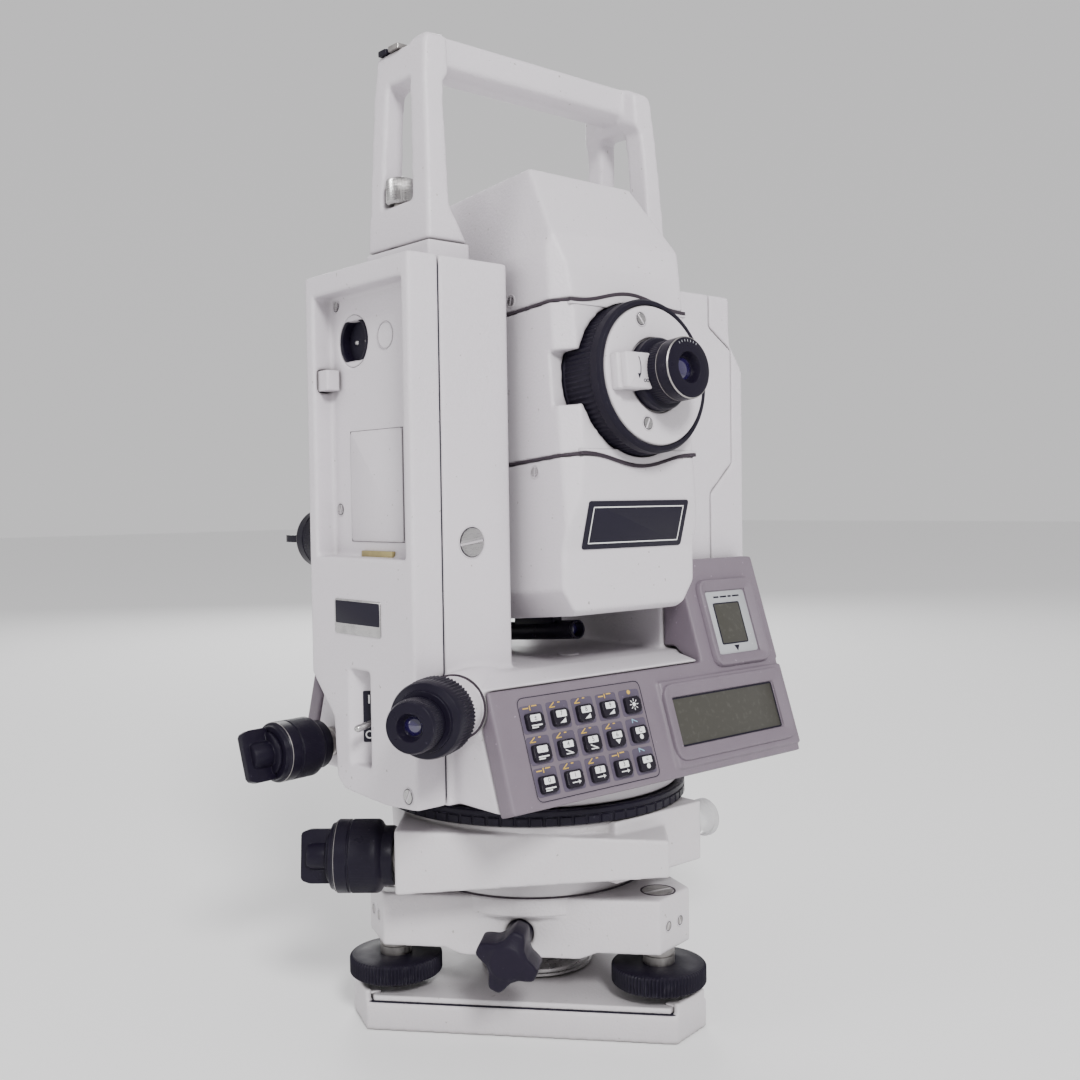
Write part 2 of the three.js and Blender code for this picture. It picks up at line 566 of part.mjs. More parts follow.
const BODY_BACK = 60;
const ringRoom = aim(disc(RING_RADIUS + 0.5, 45.6, 90), [0, 0, 0], [0, -1, 0]);
const objectiveRoom = aim(disc(29.4, 50, 90), [0, 0, 0], [0, 1, 0]);
const TELESCOPE_PLAN = [[-28, -59.8], [28, -59.8], [HALF_WIDTH, -54], [HALF_WIDTH, BODY_BACK - 6],
  [28, BODY_BACK], [-28, BODY_BACK], [-HALF_WIDTH, BODY_BACK - 6], [-HALF_WIDTH, -54]];

function buildTelescopeBody() {
  const sides = alongZ(TELESCOPE_PLAN, -SEAM, SEAM);
  const hood = aim(disc(29, 50.4, 68), [0, 0, 0], [0, 1, 0]);
  const notch = box([-40, -18], [-65, -51.5], [-9.6, 9.6]);
  const axleHole = aim(disc(AXLE_RADIUS + GAP, -40, 40, 20), [0, 0, 0], [1, 0, 0]);
  const eyeBore = aim(disc(10.3, 40, 60, 20), [0, 0, 0], [0, -1, 0]);
  const barrel = aim(turned([[0, 52], [22.9, 52], [22.9, 64], [26.5, 70], [0, 70]]), [0, 0, 0], [0, 1, 0]);
  return cut(join(sides, hood), ringRoom, notch, axleHole, barrel, eyeBore);
}

function shapeHousing(side, across) {
  const whole = common(alongX(side, -40, 40), alongY(across, -70, 70));
  return cut(common(whole, alongZ(TELESCOPE_PLAN, -100, 100)), ringRoom, objectiveRoom);
}

const upperSide = [[-59.8, SEAM + 0.6], [-59, 40], [-56, 51.4], [-39.4, 80], [42, 80], [58, 52],
  [60, SEAM + 0.6]];
const upperAcross = [[-HALF_WIDTH, SEAM + 0.6], [HALF_WIDTH, SEAM + 0.6], [HALF_WIDTH, 46], [25.9, 80],
  [-25.9, 80], [-HALF_WIDTH, 46]];
const lowerSide = [[-59.8, -SEAM - 0.6], [-57.9, -43.4], [-51.8, -60.3], [-49.6, -81.6], [-47, -83.6],
  [40, -83.6], [56, -62], [60, -SEAM - 0.6]];
const lowerAcross = [[-HALF_WIDTH, -SEAM - 0.6], [HALF_WIDTH, -SEAM - 0.6], [HALF_WIDTH, -74], [27, -83.6],
  [-27, -83.6], [-HALF_WIDTH, -74]];

piece(telescope, 'telescope_body', buildTelescopeBody(), paint);
piece(telescope, 'telescope_upper_housing', shapeHousing(upperSide, upperAcross), paint);
piece(telescope, 'telescope_lower_housing', shapeHousing(lowerSide, lowerAcross), paint);

function onEyepieceAxis(profile, segments = 32) {
  return aim(turned(profile, segments), [0, 0, 0], [0, -1, 0]);
}
const focusing = onEyepieceAxis([[14, 46], [RING_RADIUS, 46], [RING_RADIUS, 68.8], [26.8, 69.7], [25.4, 69.7],
  [25.4, 61], [14, 61], [14, 46]], 32);
piece(telescope, 'focusing_ring', focusing, black);

function buildEyepiecePlate() {
  const plate = onEyepieceAxis([[0, 46], [10, 46], [10, 47], [13.6, 47], [13.6, 61.4], [PLATE_RADIUS, 61.4],
    [PLATE_RADIUS, -PLATE_Y], [0, -PLATE_Y]], 28);
  const block = box([-22.5, -8], [PLATE_Y - 6.4, PLATE_Y + 1], [-6.2, 6.2]);
  const room = onEyepieceAxis([[0, 60], [9, 60], [9, 69], [13.4, 69], [13.4, 90], [0, 90]], 24);
  return cut(join(plate, block), room);
}
piece(telescope, 'eyepiece_plate', buildEyepiecePlate(), paint);
const eyepiece = onEyepieceAxis([[0, 60.4], [8.6, 60.4], [8.6, 69.4], [13, 69.4], [13, 74], [11.2, 75],
  [10.9, -EYEPIECE_Y - 0.6], [10.2, -EYEPIECE_Y], [5.4, -EYEPIECE_Y], [4.4, 83], [0, 83]], 24);
piece(telescope, 'eyepiece', eyepiece, black);

const lens = turned([[0, 54], [22.5, 54], [22.5, 58], [15, 60.6], [0, 61.8]], 28);
piece(telescope, 'objective_lens', aim(lens, [0, 0, 0], [0, 1, 0]), lensPurple);

const sight = join(aim(disc(3.7, -19.2, 25, 16), [0, 0, -89.8], [0, 1, 0]),
  box([-2, 2], [-8, 16], [-88, -83.9]));
piece(telescope, 'sight_tube', sight, black);

export default station;
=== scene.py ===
"""Looks of a surveying total station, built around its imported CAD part.

Sizes are written in millimetres and scaled once, where a mesh is made. Pieces are drawn in a local
frame whose +Z leaves the surface they sit on; a placement matrix carries them into the model's frame.
"""
from math import atan2, cos, pi, radians, sin, tau

import bmesh
import bpy
from mathutils import Matrix, Vector


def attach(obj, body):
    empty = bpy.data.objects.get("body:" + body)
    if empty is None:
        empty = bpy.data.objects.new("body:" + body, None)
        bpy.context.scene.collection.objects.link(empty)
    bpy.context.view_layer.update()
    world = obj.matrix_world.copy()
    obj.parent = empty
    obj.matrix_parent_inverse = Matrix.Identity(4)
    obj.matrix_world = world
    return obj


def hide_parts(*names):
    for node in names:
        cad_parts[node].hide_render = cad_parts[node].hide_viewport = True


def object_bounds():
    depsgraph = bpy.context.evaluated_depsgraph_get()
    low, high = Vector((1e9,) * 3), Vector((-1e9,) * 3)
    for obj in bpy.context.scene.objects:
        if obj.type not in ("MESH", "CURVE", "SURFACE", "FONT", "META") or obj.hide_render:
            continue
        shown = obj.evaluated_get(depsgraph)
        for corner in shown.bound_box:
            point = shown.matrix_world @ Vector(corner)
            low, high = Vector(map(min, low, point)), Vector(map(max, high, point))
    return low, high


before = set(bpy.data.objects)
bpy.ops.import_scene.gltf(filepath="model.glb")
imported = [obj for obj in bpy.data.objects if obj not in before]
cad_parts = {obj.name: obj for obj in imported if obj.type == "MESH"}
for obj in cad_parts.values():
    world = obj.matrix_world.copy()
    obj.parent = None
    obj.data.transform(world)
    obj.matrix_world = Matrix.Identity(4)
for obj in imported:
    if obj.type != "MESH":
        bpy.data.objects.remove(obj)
cad_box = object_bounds()

MM = 0.001
WORLD = Matrix.Identity(4)
TRIBRACH = Matrix.Rotation(radians(-49.3), 4, "Z")
LOWER = Matrix.Rotation(radians(-42.5), 4, "Z")
SCOPE = Matrix.Translation((0, 0, 236)) @ Matrix.Rotation(radians(-5), 4, "X")
TILT = radians(18.28)
PANEL_POINT = Vector((0, -62.3, 112.9))
FOOT_ANGLES = (radians(60), radians(-60), radians(180))
FOOT_RADIUS = 58.6
FRONT = (0, -1, 0)


# ---------- camera and light ----------
def build_camera():
    azimuth, elevation, roll = radians(-41.0), radians(1.86), radians(-0.82)
    back = Vector((sin(azimuth) * cos(elevation), -cos(azimuth) * cos(elevation), sin(elevation)))
    side = Vector((cos(azimuth), sin(azimuth), 0))
    up = back.cross(side)
    target = Vector((0, 0, 182.2)) + side * 3.62
    side, up = cos(roll) * side + sin(roll) * up, cos(roll) * up - sin(roll) * side
    data = bpy.data.cameras.new("camera")
    data.lens, data.sensor_width = 40.53, 36
    data.clip_start, data.clip_end = 0.01, 50
    camera = bpy.data.objects.new("camera", data)
    place = Matrix((side, up, back)).transposed().to_4x4()
    place.translation = (target + back * 488.2) * MM
    camera.matrix_world = place
    bpy.context.scene.collection.objects.link(camera)
    bpy.context.scene.camera = camera


def area_light(name, position, size, power):
    data = bpy.data.lights.new(name, "AREA")
    data.shape, data.size, data.energy = "DISK", size, power
    light = bpy.data.objects.new(name, data)
    light.location = position
    aim = Vector((0, 0, 0.18)) - Vector(position)
    light.rotation_euler = aim.to_track_quat("-Z", "Y").to_euler()
    bpy.context.scene.collection.objects.link(light)


def build_stage():
    world = bpy.data.worlds.new("studio")
    world.use_nodes = True
    nodes, links = world.node_tree.nodes, world.node_tree.links
    background = nodes["Background"]
    background.inputs["Color"].default_value = (1, 0.99, 1, 1)
    height = nodes.new("ShaderNodeSeparateXYZ")
    links.new(nodes.new("ShaderNodeTexCoord").outputs["Generated"], height.inputs["Vector"])
    glow = nodes.new("ShaderNodeMapRange")
    glow.inputs["From Min"].default_value, glow.inputs["From Max"].default_value = 0.0, 0.8
    glow.inputs["To Min"].default_value, glow.inputs["To Max"].default_value = 0.75, 0.7
    links.new(height.outputs["Z"], glow.inputs["Value"])
    links.new(glow.outputs["Result"], background.inputs["Strength"])
    bpy.context.scene.world = world
    area_light("key", (-0.6, -1.3, 1.15), 0.4, 30)
    area_light("side", (-1.5, 0.5, 0.5), 0.6, 4)
    area_light("back", (0.9, 1.3, 0.9), 0.9, 12)
    mesh = bpy.data.meshes.new("floor")
    mesh.from_pydata([(-8, -8, 0), (8, -8, 0), (8, 8, 0), (-8, 8, 0)], [], [(0, 1, 2, 3)])
    floor = bpy.data.objects.new("floor", mesh)
    floor.location.z = cad_box[0][2] - 0.0002
    pale = bpy.data.materials.new("pale_floor")
    pale.use_nodes = True
    sockets = pale.node_tree.nodes["Principled BSDF"].inputs
    sockets["Base Color"].default_value, sockets["Roughness"].default_value = (0.93, 0.93, 0.93, 1), 0.8
    mesh.materials.append(pale)
    bpy.context.scene.collection.objects.link(floor)


# ---------- materials ----------
SAMPLES = 4
# Colour of the dirt specks on the paint, and of the painted shade in its narrow corners and gaps.
DIRT_AND_SHADE = (0.2, 0.18, 0.15)


class Surface:
    """A Principled material with a few node helpers; every texture reads the piece's own coordinates."""

    def __init__(self, name, color, roughness, metallic=0.0, **constants):
        self.material = bpy.data.materials.new(name)
        self.material.use_nodes = True
        self.tree = self.material.node_tree
        self.shader = self.tree.nodes["Principled BSDF"]
        self.color = (*color, 1)
        constants.update(Base_Color=self.color, Roughness=roughness, Metallic=metallic)
        self.fill(self.shader, constants)
        self.coordinate = self.add("TexCoord").outputs["Object"]

    def fill(self, node, inputs):
        """Sets or links a node's inputs; an underscore stands for a space in a socket's name."""
        for socket, value in inputs.items():
            self.feed(node, socket.replace("_", " "), value)

    def feed(self, node, socket, value):
        if isinstance(value, bpy.types.NodeSocket):
            self.tree.links.new(value, node.inputs[socket])
        else:
            node.inputs[socket].default_value = value

    def add(self, kind, **inputs):
        node = self.tree.nodes.new("ShaderNode" + kind)
        self.fill(node, inputs)
        return node

    def noise(self, scale, detail=2.0, stretch=None):
        source = self.coordinate
        if stretch:
            source = self.add("Mapping", Vector=source, Scale=stretch).outputs["Vector"]
        return self.add("TexNoise", Vector=source, Scale=scale, Detail=detail).outputs["Fac"]

    def span(self, value, low, high, new_low=0.0, new_high=1.0):
        node = self.add("MapRange", Value=value, From_Min=low, From_Max=high, To_Min=new_low, To_Max=new_high)
        return node.outputs["Result"]

    def of_two(self, kind, operation, first, second):
        """The value of a math node with two inputs."""
        node = self.add(kind)
        node.operation = operation
        self.feed(node, 0, first)
        self.feed(node, 1, second)
        return node.outputs["Value"]

    def times(self, first, second):
        return self.of_two("Math", "MULTIPLY", first, second)

    def tint(self, factor, color):
        """Mixes the running colour towards another one and keeps the result as the running colour."""
        node = self.add("Mix")
        node.data_type = "RGBA"
        for socket, value in ((0, factor), (6, self.color), (7, (*color, 1))):
            self.feed(node, socket, value)
        self.color = node.outputs[2]
        return self

    def rounded(self, radius):
        """The normal that the surface would have with rounded edges."""
        bevel = self.add("Bevel", Radius=radius)
        bevel.samples = SAMPLES
        return bevel.outputs["Normal"]

    def edges(self, radius):
        """1 on worn edges, 0 on flat faces."""
        true_normal = self.add("NewGeometry").outputs["Normal"]
        match = self.of_two("VectorMath", "DOT_PRODUCT", self.rounded(radius), true_normal)
        return self.span(match, 0.98, 0.85)

    def crevices(self, distance):
        """Mask for painted shade: 1 in corners and gaps, 0 in the open."""
        node = self.add("AmbientOcclusion", Distance=distance)
        node.samples = SAMPLES
        return self.span(node.outputs["AO"], 0.75, 0.2)

    def bump(self, height, strength, distance, radius=0.0):
        node = self.add("Bump", Height=height, Strength=strength, Distance=distance)
        if radius:
            self.feed(node, "Normal", self.rounded(radius))
        self.feed(self.shader, "Normal", node.outputs["Normal"])
        return self

    def done(self, roughness=None):
        self.feed(self.shader, "Base Color", self.color)
        if roughness is not None:
            self.feed(self.shader, "Roughness", roughness)
        return self.material


def painted(name, color):
    s = Surface(name, color, 0.45, Specular_IOR_Level=0.45)
    s.tint(s.span(s.noise(24, 3), 0.35, 0.7, 0, 0.12), [0.8 * c for c in color])
    s.tint(s.span(s.noise(520, 1), 0.755, 0.79, 0, 0.6), DIRT_AND_SHADE)
    # Painted shade: the paint turns darker in narrow corners and gaps, where light is blocked.
    s.tint(s.times(s.crevices(0.004), 0.55), DIRT_AND_SHADE)
    # Painted shade: a darker copy of the paint in recesses and between parts, up to 30 mm deep.
    s.tint(s.times(s.crevices(0.03), 0.6), [0.4 * c for c in color])
    s.tint(s.times(s.edges(0.002), s.span(s.noise(160, 3), 0.5, 0.7, 0, 0.35)), (0.42, 0.4, 0.38))
    s.bump(s.noise(950, 2), 0.4, 0.0004, 0.0008)
    return s.done(s.span(s.noise(70, 3), 0.3, 0.7, 0.34, 0.5))


def moulded(name, color, roughness, grain=1700, depth=0.25, wear=(0.3, 0.3, 0.31)):
    s = Surface(name, color, roughness, Specular_IOR_Level=0.5 if color[0] > 0.05 else 0.16)
    s.tint(s.span(s.noise(60, 3), 0.4, 0.7, 0, 0.25), [0.7 * c for c in color])
    s.tint(s.times(s.edges(0.0004), s.span(s.noise(300, 3), 0.52, 0.68, 0, 0.4)), wear)
    s.tint(s.span(s.noise(700, 1), 0.74, 0.8, 0, 0.4), [min(1, 2.6 * c + 0.04) for c in color])
    s.bump(s.noise(grain, 2), depth, 0.0002, 0.0004)
    return s.done(s.span(s.noise(90, 3), 0.3, 0.7, roughness - 0.08, roughness + 0.1))


def metal(name, color, roughness, stretch=(1, 1, 14), wear=0.5):
    s = Surface(name, color, roughness, 1.0)
    s.tint(s.span(s.noise(180, 4), 0.45, 0.75, 0, wear), [0.5 * c for c in color])
    # Painted shade: the metal turns darker in narrow crevices, where light is blocked.
    s.tint(s.times(s.crevices(0.002), 0.6), (0.1, 0.09, 0.08))
    s.bump(s.noise(300, 3, stretch), 0.12, 0.0002)
    return s.done(s.span(s.noise(240, 3, stretch), 0.3, 0.7, roughness - 0.08, roughness + 0.16))


def printed(name, color):
    s = Surface(name, color, 0.5, Specular_IOR_Level=0.5 if color[0] > 0.05 else 0.15)
    s.tint(s.span(s.noise(900, 3), 0.6, 0.72, 0, 0.35), [0.55 * c for c in color])
    return s.done()


def glazed(name, color, roughness, coat, dust, gloss=0.7):
    s = Surface(name, color, roughness, Specular_IOR_Level=gloss, Coat_Weight=coat)
    s.tint(s.span(s.noise(500, 4), 0.55, 0.85, 0, dust), (0.45, 0.44, 0.42))
    return s.done(s.span(s.noise(120, 3), 0.4, 0.7, roughness, roughness + 0.12))


PAINT = painted("paint", (0.655, 0.615, 0.655))
PAINT_WARM = painted("paint_warm", (0.6, 0.568, 0.59))
PANEL = moulded("panel_plastic", (0.17, 0.138, 0.17), 0.5, depth=0.5, wear=(0.45, 0.42, 0.44))
PLATE = moulded("key_plate", (0.15, 0.122, 0.15), 0.5, 2200, 0.2)
BLACK = moulded("black_plastic", (0.008, 0.006, 0.014), 0.34, wear=(0.1, 0.1, 0.115))
RUBBER = moulded("black_rubber", (0.009, 0.007, 0.015), 0.5, 1200, 0.35, (0.14, 0.14, 0.16))
STAR = moulded("worn_grip", (0.011, 0.008, 0.018), 0.42, 1200, 0.3, (0.4, 0.38, 0.42))
GASKET = moulded("gasket", (0.045, 0.035, 0.045), 0.6)
KEY = moulded("key_rubber", (0.014, 0.011, 0.018), 0.45)
KEY_GROUND = moulded("key_ground", (0.085, 0.068, 0.105), 0.55)
STEEL = metal("steel", (0.5, 0.49, 0.49), 0.28)
STEEL_WORN = metal("steel_worn", (0.4, 0.38, 0.37), 0.36, (8, 8, 1), 0.8)
BRASS = metal("brass", (0.5, 0.42, 0.2), 0.4)
WHITE = printed("print_white", (0.8, 0.8, 0.8))
YELLOW = printed("print_yellow", (0.62, 0.4, 0.06))
BLUE = printed("print_blue", (0.25, 0.45, 0.6))
INK = printed("print_black", (0.014, 0.012, 0.022))
LABEL = moulded("label_grey", (0.42, 0.43, 0.45), 0.4)
DISPLAY = glazed("display_glass", (0.052, 0.05, 0.042), 0.3, 0.0, 0.08, 0.3)
LENS = glazed("lens_glass", (0.012, 0.006, 0.05), 0.03, 1.0, 0.04)
LEVEL = glazed("level_fluid", (0.5, 0.66, 0.1), 0.04, 1.0, 0.1)
BUBBLE = glazed("bubble", (0.85, 0.9, 0.6), 0.05, 1.0, 0.05)
CLEAR = Surface("clear_plastic", (0.86, 0.86, 0.87), 0.22, Transmission_Weight=0.55, IOR=1.45)
CLEAR.tint(CLEAR.span(CLEAR.noise(200, 3), 0.5, 0.8, 0, 0.4), (0.6, 0.58, 0.55))
CLEAR = CLEAR.bump(CLEAR.noise(600, 2), 0.2, 0.0002).done()


# ---------- placing ----------
def facing(point, normal, base=WORLD):
    """A frame on an upright surface: +Z is its normal and +Y is as near to up as it can be."""
    z = Vector(normal).normalized()
    x = Vector((0, 0, 1)).cross(z).normalized()
    y = z.cross(x)
    turn = Matrix((x, y, z)).transposed().to_4x4()
    return base @ Matrix.Translation(point) @ turn


def shift(matrix, x=0.0, y=0.0, z=0.0, turn=0.0):
    return matrix @ Matrix.Translation((x, y, z)) @ Matrix.Rotation(radians(turn), 4, "Z")


PANEL_FRONT = facing(PANEL_POINT, (0, -cos(TILT), sin(TILT)))


# ---------- meshes ----------
def finished(name, mesh, material, body, matrix, sharp=32):
    """Links a mesh drawn in millimetres as a piece of the object."""
    mesh.transform(Matrix.Scale(MM, 4) @ matrix)
    if matrix.determinant() < 0:
        mesh.flip_normals()
    mesh.materials.clear()
    mesh.materials.append(material)
    mesh.polygons.foreach_set("use_smooth", [True] * len(mesh.polygons))
    mesh.set_sharp_from_angle(angle=radians(sharp))
    piece = bpy.data.objects.new(name, mesh)
    bpy.context.scene.collection.objects.link(piece)
    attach(piece, body)
    return piece


def soft(points, radius, steps=3, closed=True):
    """Rounds the corners of an outline or a profile."""
    rounded = []
    count = len(points)
    for i, point in enumerate(points):
        here = Vector(point[:2])
        if not closed and i in (0, count - 1):
            rounded.append(tuple(here))
            continue
        before, after = Vector(points[i - 1][:2]), Vector(points[(i + 1) % count][:2])
        reach = min(radius, 0.45 * (before - here).length, 0.45 * (after - here).length)
        start = here + (before - here).normalized() * reach
        end = here + (after - here).normalized() * reach
        for k in range(steps + 1):
            t = k / steps
            rounded.append(tuple(start * (1 - t) ** 2 + here * 2 * t * (1 - t) + end * t * t))
    return rounded


def rect(width, height, radius, x=0.0, y=0.0, steps=4):
    w, h = width / 2, height / 2
    corners = [(x - w, y - h), (x + w, y - h), (x + w, y + h), (x - w, y + h)]
    return soft(corners, radius, steps)


def circle(radius, count=48, x=0.0, y=0.0, start=0.0, stop=tau):
    step = (stop - start) / count
    full = abs(stop - start - tau) < 1e-6
    angles = [start + step * i for i in range(count if full else count + 1)]
    return [(x + radius * cos(angle), y + radius * sin(angle)) for angle in angles]


def slab_mesh(outline, low, high, edge, steps=2, both=False):
    """A closed plate with rounded upper edges, and rounded lower ones too if both is set."""
    bm = bmesh.new()
    bottom = [bm.verts.new((x, y, low)) for x, y in outline]
    top = [bm.verts.new((x, y, high)) for x, y in outline]
    count = len(outline)
    pairs = zip(outline, outline[1:] + outline[:1])
    area = sum(x1 * y2 - x2 * y1 for (x1, y1), (x2, y2) in pairs)
    order = list(range(count) if area > 0 else range(count - 1, -1, -1))
    upper = bm.faces.new([top[i] for i in order])
    lower = bm.faces.new([bottom[i] for i in reversed(order)])
    for k, i in enumerate(order):
        j = order[(k + 1) % count]
        bm.faces.new((bottom[i], bottom[j], top[j], top[i]))
    if edge:
        rims = list(upper.edges) + (list(lower.edges) if both else [])
        bmesh.ops.bevel(bm, geom=rims, offset=edge, segments=steps, profile=0.5, affect="EDGES")
    mesh = bpy.data.meshes.new("slab")
    bm.to_mesh(mesh)
    bm.free()
    return mesh


def slab(name, outline, low, high, material, body, matrix, edge):
    return finished(name, slab_mesh(outline, low, high, edge), material, body, matrix)


def lathe_mesh(profile, segments=96, ribs=0, depth=0.0, square=0.0):
    """A round piece about Z. A profile point is (radius, height) or (radius, height, share of rib depth).

    A profile that starts off the axis is closed.
    """
    if profile[0][0]:
        profile = profile + profile[:1]
    verts, faces, rings = [], [], []
    for point in profile:
        radius, height = point[0], point[1]
        share = point[2] if len(point) > 2 else 0.0
        if radius < 1e-6:
            rings.append([len(verts)])
            verts.append((0, 0, height))
            continue
        ring = []
        for i in range(segments):
            angle = tau * i / segments
            wave = 0.5 - 0.5 * cos(ribs * angle) if ribs else 0.0
            if square:
                wave = 1.0 if wave > square else 0.0
            ring.append(len(verts))
            r = radius - depth * share * wave
            verts.append((r * cos(angle), r * sin(angle), height))
        rings.append(ring)
    for a, b in zip(rings, rings[1:]):
        for i in range(segments):
            j = (i + 1) % segments
            if len(a) == 1 and len(b) > 1:
                faces.append((a[0], b[j], b[i]))
            elif len(b) == 1 and len(a) > 1:
                faces.append((a[i], a[j], b[0]))
            elif len(a) > 1:
                faces.append((a[i], a[j], b[j], b[i]))
    mesh = bpy.data.meshes.new("lathe")
    mesh.from_pydata(verts, [], faces)
    bm = bmesh.new()
    bm.from_mesh(mesh)
    bmesh.ops.remove_doubles(bm, verts=bm.verts, dist=1e-5)
    bmesh.ops.recalc_face_normals(bm, faces=bm.faces)
    bm.to_mesh(mesh)
    bm.free()
    return mesh


def lathe(name, profile, material, body, matrix, segments=96, ribs=0, depth=0.0, square=0.0, sharp=32):
    mesh = lathe_mesh(profile, segments, ribs, depth, square)
    return finished(name, mesh, material, body, matrix, sharp)


def joined(name, meshes, material, body, matrix, sharp=32):
    """Several meshes as one piece."""
    bm = bmesh.new()
    for mesh in meshes:
        bm.from_mesh(mesh)
    whole = bpy.data.meshes.new(name)
    bm.to_mesh(whole)
    bm.free()
    return finished(name, whole, material, body, matrix, sharp)


def stroke(points, width):
    """A flat line of constant width as outlines, one for each stretch."""
    parts = []
    for a, b in zip(points, points[1:]):
        a, b = Vector(a), Vector(b)
        along = (b - a).normalized()
        side = Vector((-along.y, along.x)) * width / 2
        tip = along * width * 0.3
        corners = (a - side - tip, b - side + tip, b + side + tip, a + side - tip)
        parts.append([tuple(corner) for corner in corners])
    return parts


def strokes(lines, width, x, y):
    """Several lines, all drawn from one point."""
    return [part for line in lines for part in stroke([(x + a, y + b) for a, b in line], width)]


def marks(name, outlines, material, body, matrix, height=0.06):
    meshes = [slab_mesh(outline, 0, height, 0) for outline in outlines]
    return joined(name, meshes, material, body, matrix)


def text_mesh(text, size):
    curve = bpy.data.curves.new("text", "FONT")
    curve.body, curve.size = text, size
    curve.align_x, curve.align_y = "CENTER", "CENTER"
    curve.extrude = 0.04
    holder = bpy.data.objects.new("text", curve)
    bpy.context.scene.collection.objects.link(holder)
    bpy.context.view_layer.update()
    mesh = bpy.data.meshes.new_from_object(holder.evaluated_get(bpy.context.evaluated_depsgraph_get()))
    bpy.data.objects.remove(holder)
    return mesh


def half_discs(radius, slit, low, high, turn=0.0):
    """The two halves of a slotted screw's head."""
    start = atan2(slit / 2, radius)
    halves = []
    for side in (0, pi):
        arc = circle(radius, 20, 0, 0, start + side + radians(turn), pi - start + side + radians(turn))
        halves.append(slab_mesh(arc, low, high, min(0.25, 0.1 * radius), 2))
    return halves


def slotted_screw(name, point, normal, radius, body, turn, base=WORLD, material=STEEL, proud=0.25, slit=0.36):
    """A slotted screw in a shallow painted rim, with a dark slit and a dark gap around its head."""
    place = facing(point, normal, base=base)
    joined(name, half_discs(radius, slit * radius, -0.6, proud, turn), material, body, place)
    gap, seat = radius + 0.05, radius + 0.3
    pit = [(0, -0.7), (seat, -0.7), (seat, 0.03), (gap, 0.03), (gap, -0.05), (0, -0.05)]
    lathe(name + "_pit", pit, INK, body, place, 48)
    ring = [(seat, -0.5), (radius + 0.9, -0.5), (radius + 0.85, 0.1), (radius + 0.55, 0.2), (seat, 0.08)]
    lathe(name + "_rim", ring, PAINT, body, place, 48)


def dress(node, material, voxel=0.6, passes=12, keep=0.16):
    """Gives a CAD casting its finish and the soft edges of a moulded or painted piece."""
    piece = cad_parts[node]
    piece.data.materials.clear()
    piece.data.materials.append(material)
    if piece.data.has_custom_normals:
        piece.data.attributes.remove(piece.data.attributes["custom_normal"])
    piece.data.polygons.foreach_set("use_smooth", [True] * len(piece.data.polygons))
    skin = piece.modifiers.new("skin", "REMESH")
    skin.mode, skin.voxel_size, skin.use_smooth_shade = "VOXEL", voxel * MM, True
    soften = piece.modifiers.new("soften", "SMOOTH")
    soften.factor, soften.iterations = 0.5, passes
    piece.modifiers.new("lighten", "DECIMATE").ratio = keep
    piece.modifiers.new("shading", "WEIGHTED_NORMAL").keep_sharp = False
    return piece


def lofted_mesh(loops, closed=False):
    """A skin through loops of (x, y, z) points, capped at its ends unless its last loop joins the first."""
    bm = bmesh.new()
    rings = [[bm.verts.new(point) for point in loop] for loop in loops]
    pairs = list(zip(rings, rings[1:]))
    if closed:
        pairs.append((rings[-1], rings[0]))
    for a, b in pairs:
        for i in range(len(a)):
            j = (i + 1) % len(a)
            bm.faces.new((a[i], a[j], b[j], b[i]))
    if not closed:
        bm.faces.new(rings[0])
        bm.faces.new(rings[-1])
    bmesh.ops.recalc_face_normals(bm, faces=bm.faces)
    mesh = bpy.data.meshes.new("loft")
    bm.to_mesh(mesh)
    bm.free()
    return mesh


def frame_mesh(width, height, radius, section, x=0.0, y=0.0):
    """A picture frame around an opening; its section is a closed list of (outset, height)."""
    loops = []
    for out, z in section:
        outline = rect(width + 2 * out, height + 2 * out, max(0.1, radius + out), x, y)
        loops.append([(px, py, z) for px, py in outline])
    return lofted_mesh(loops, True)


# ---------- tribrach ----------
STAR_POINTS = 128


def foot_place(angle, z=0.0):
    return TRIBRACH @ Matrix.Translation((FOOT_RADIUS * sin(angle), -FOOT_RADIUS * cos(angle), z))


def build_foot_screw(index, angle):
    place = foot_place(angle)
    body = f"foot_screw_{index}"
    wheel = [(0, 16.9), (15.8, 16.9), (17.2, 17.2, 0.6), (17.8, 17.8, 1), (17.8, 23.4, 1), (17.3, 24.0, 0.7),
             (16.7, 24.2), (13.6, 24.4), (7.4, 24.7), (7.0, 24.5), (0, 24.5)]
    piece = lathe(body + "_wheel", wheel, RUBBER, body, place, 480, 80, 0.75)
    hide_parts(body)
    stem = [(0, 24), (5.95, 24), (5.95, 27.6), (5.5, 27.8), (5.5, 28.3), (5.95, 28.5), (5.95, 40), (0, 40)]
    lathe(body + "_sleeve", stem, STEEL_WORN, body, place, 64)
    ball = [(0, 10.8), (3.2, 10.9), (4.3, 12), (4.4, 13.2), (3.8, 14.6), (3.2, 15.2), (3.2, 17.8), (0, 17.8)]
    lathe(body + "_ball", ball, STEEL, body, place, 48)


def star_loop(height, radius, lobes=0.0):
    """One loop of the four-lobed knob: blunt lobes with hollow sides between them."""
    points = []
    for i in range(STAR_POINTS):
        angle = tau * i / STAR_POINTS
        reach = radius + lobes * min(1, 1.2 * (0.5 + 0.5 * cos(4 * angle)) ** 1.6)
        points.append((reach * cos(angle), reach * sin(angle), height))
    return points


def flat_corners(inradius, corner):
    """A triangle with cut corners in the tribrach's frame; its flats face 0, 120 and 240 degrees from -Y."""
    points = []
    for angle in FOOT_ANGLES:
        for side in (-1, 1):
            flat = angle + side * radians(60)
            n, m = Vector((sin(flat), -cos(flat))), Vector((sin(angle), -cos(angle)))
            det = n.x * m.y - n.y * m.x
            points.append(((inradius * m.y - corner * n.y) / det, (corner * n.x - inradius * m.x) / det))
    points.sort(key=lambda point: atan2(point[1], point[0]))
    return points


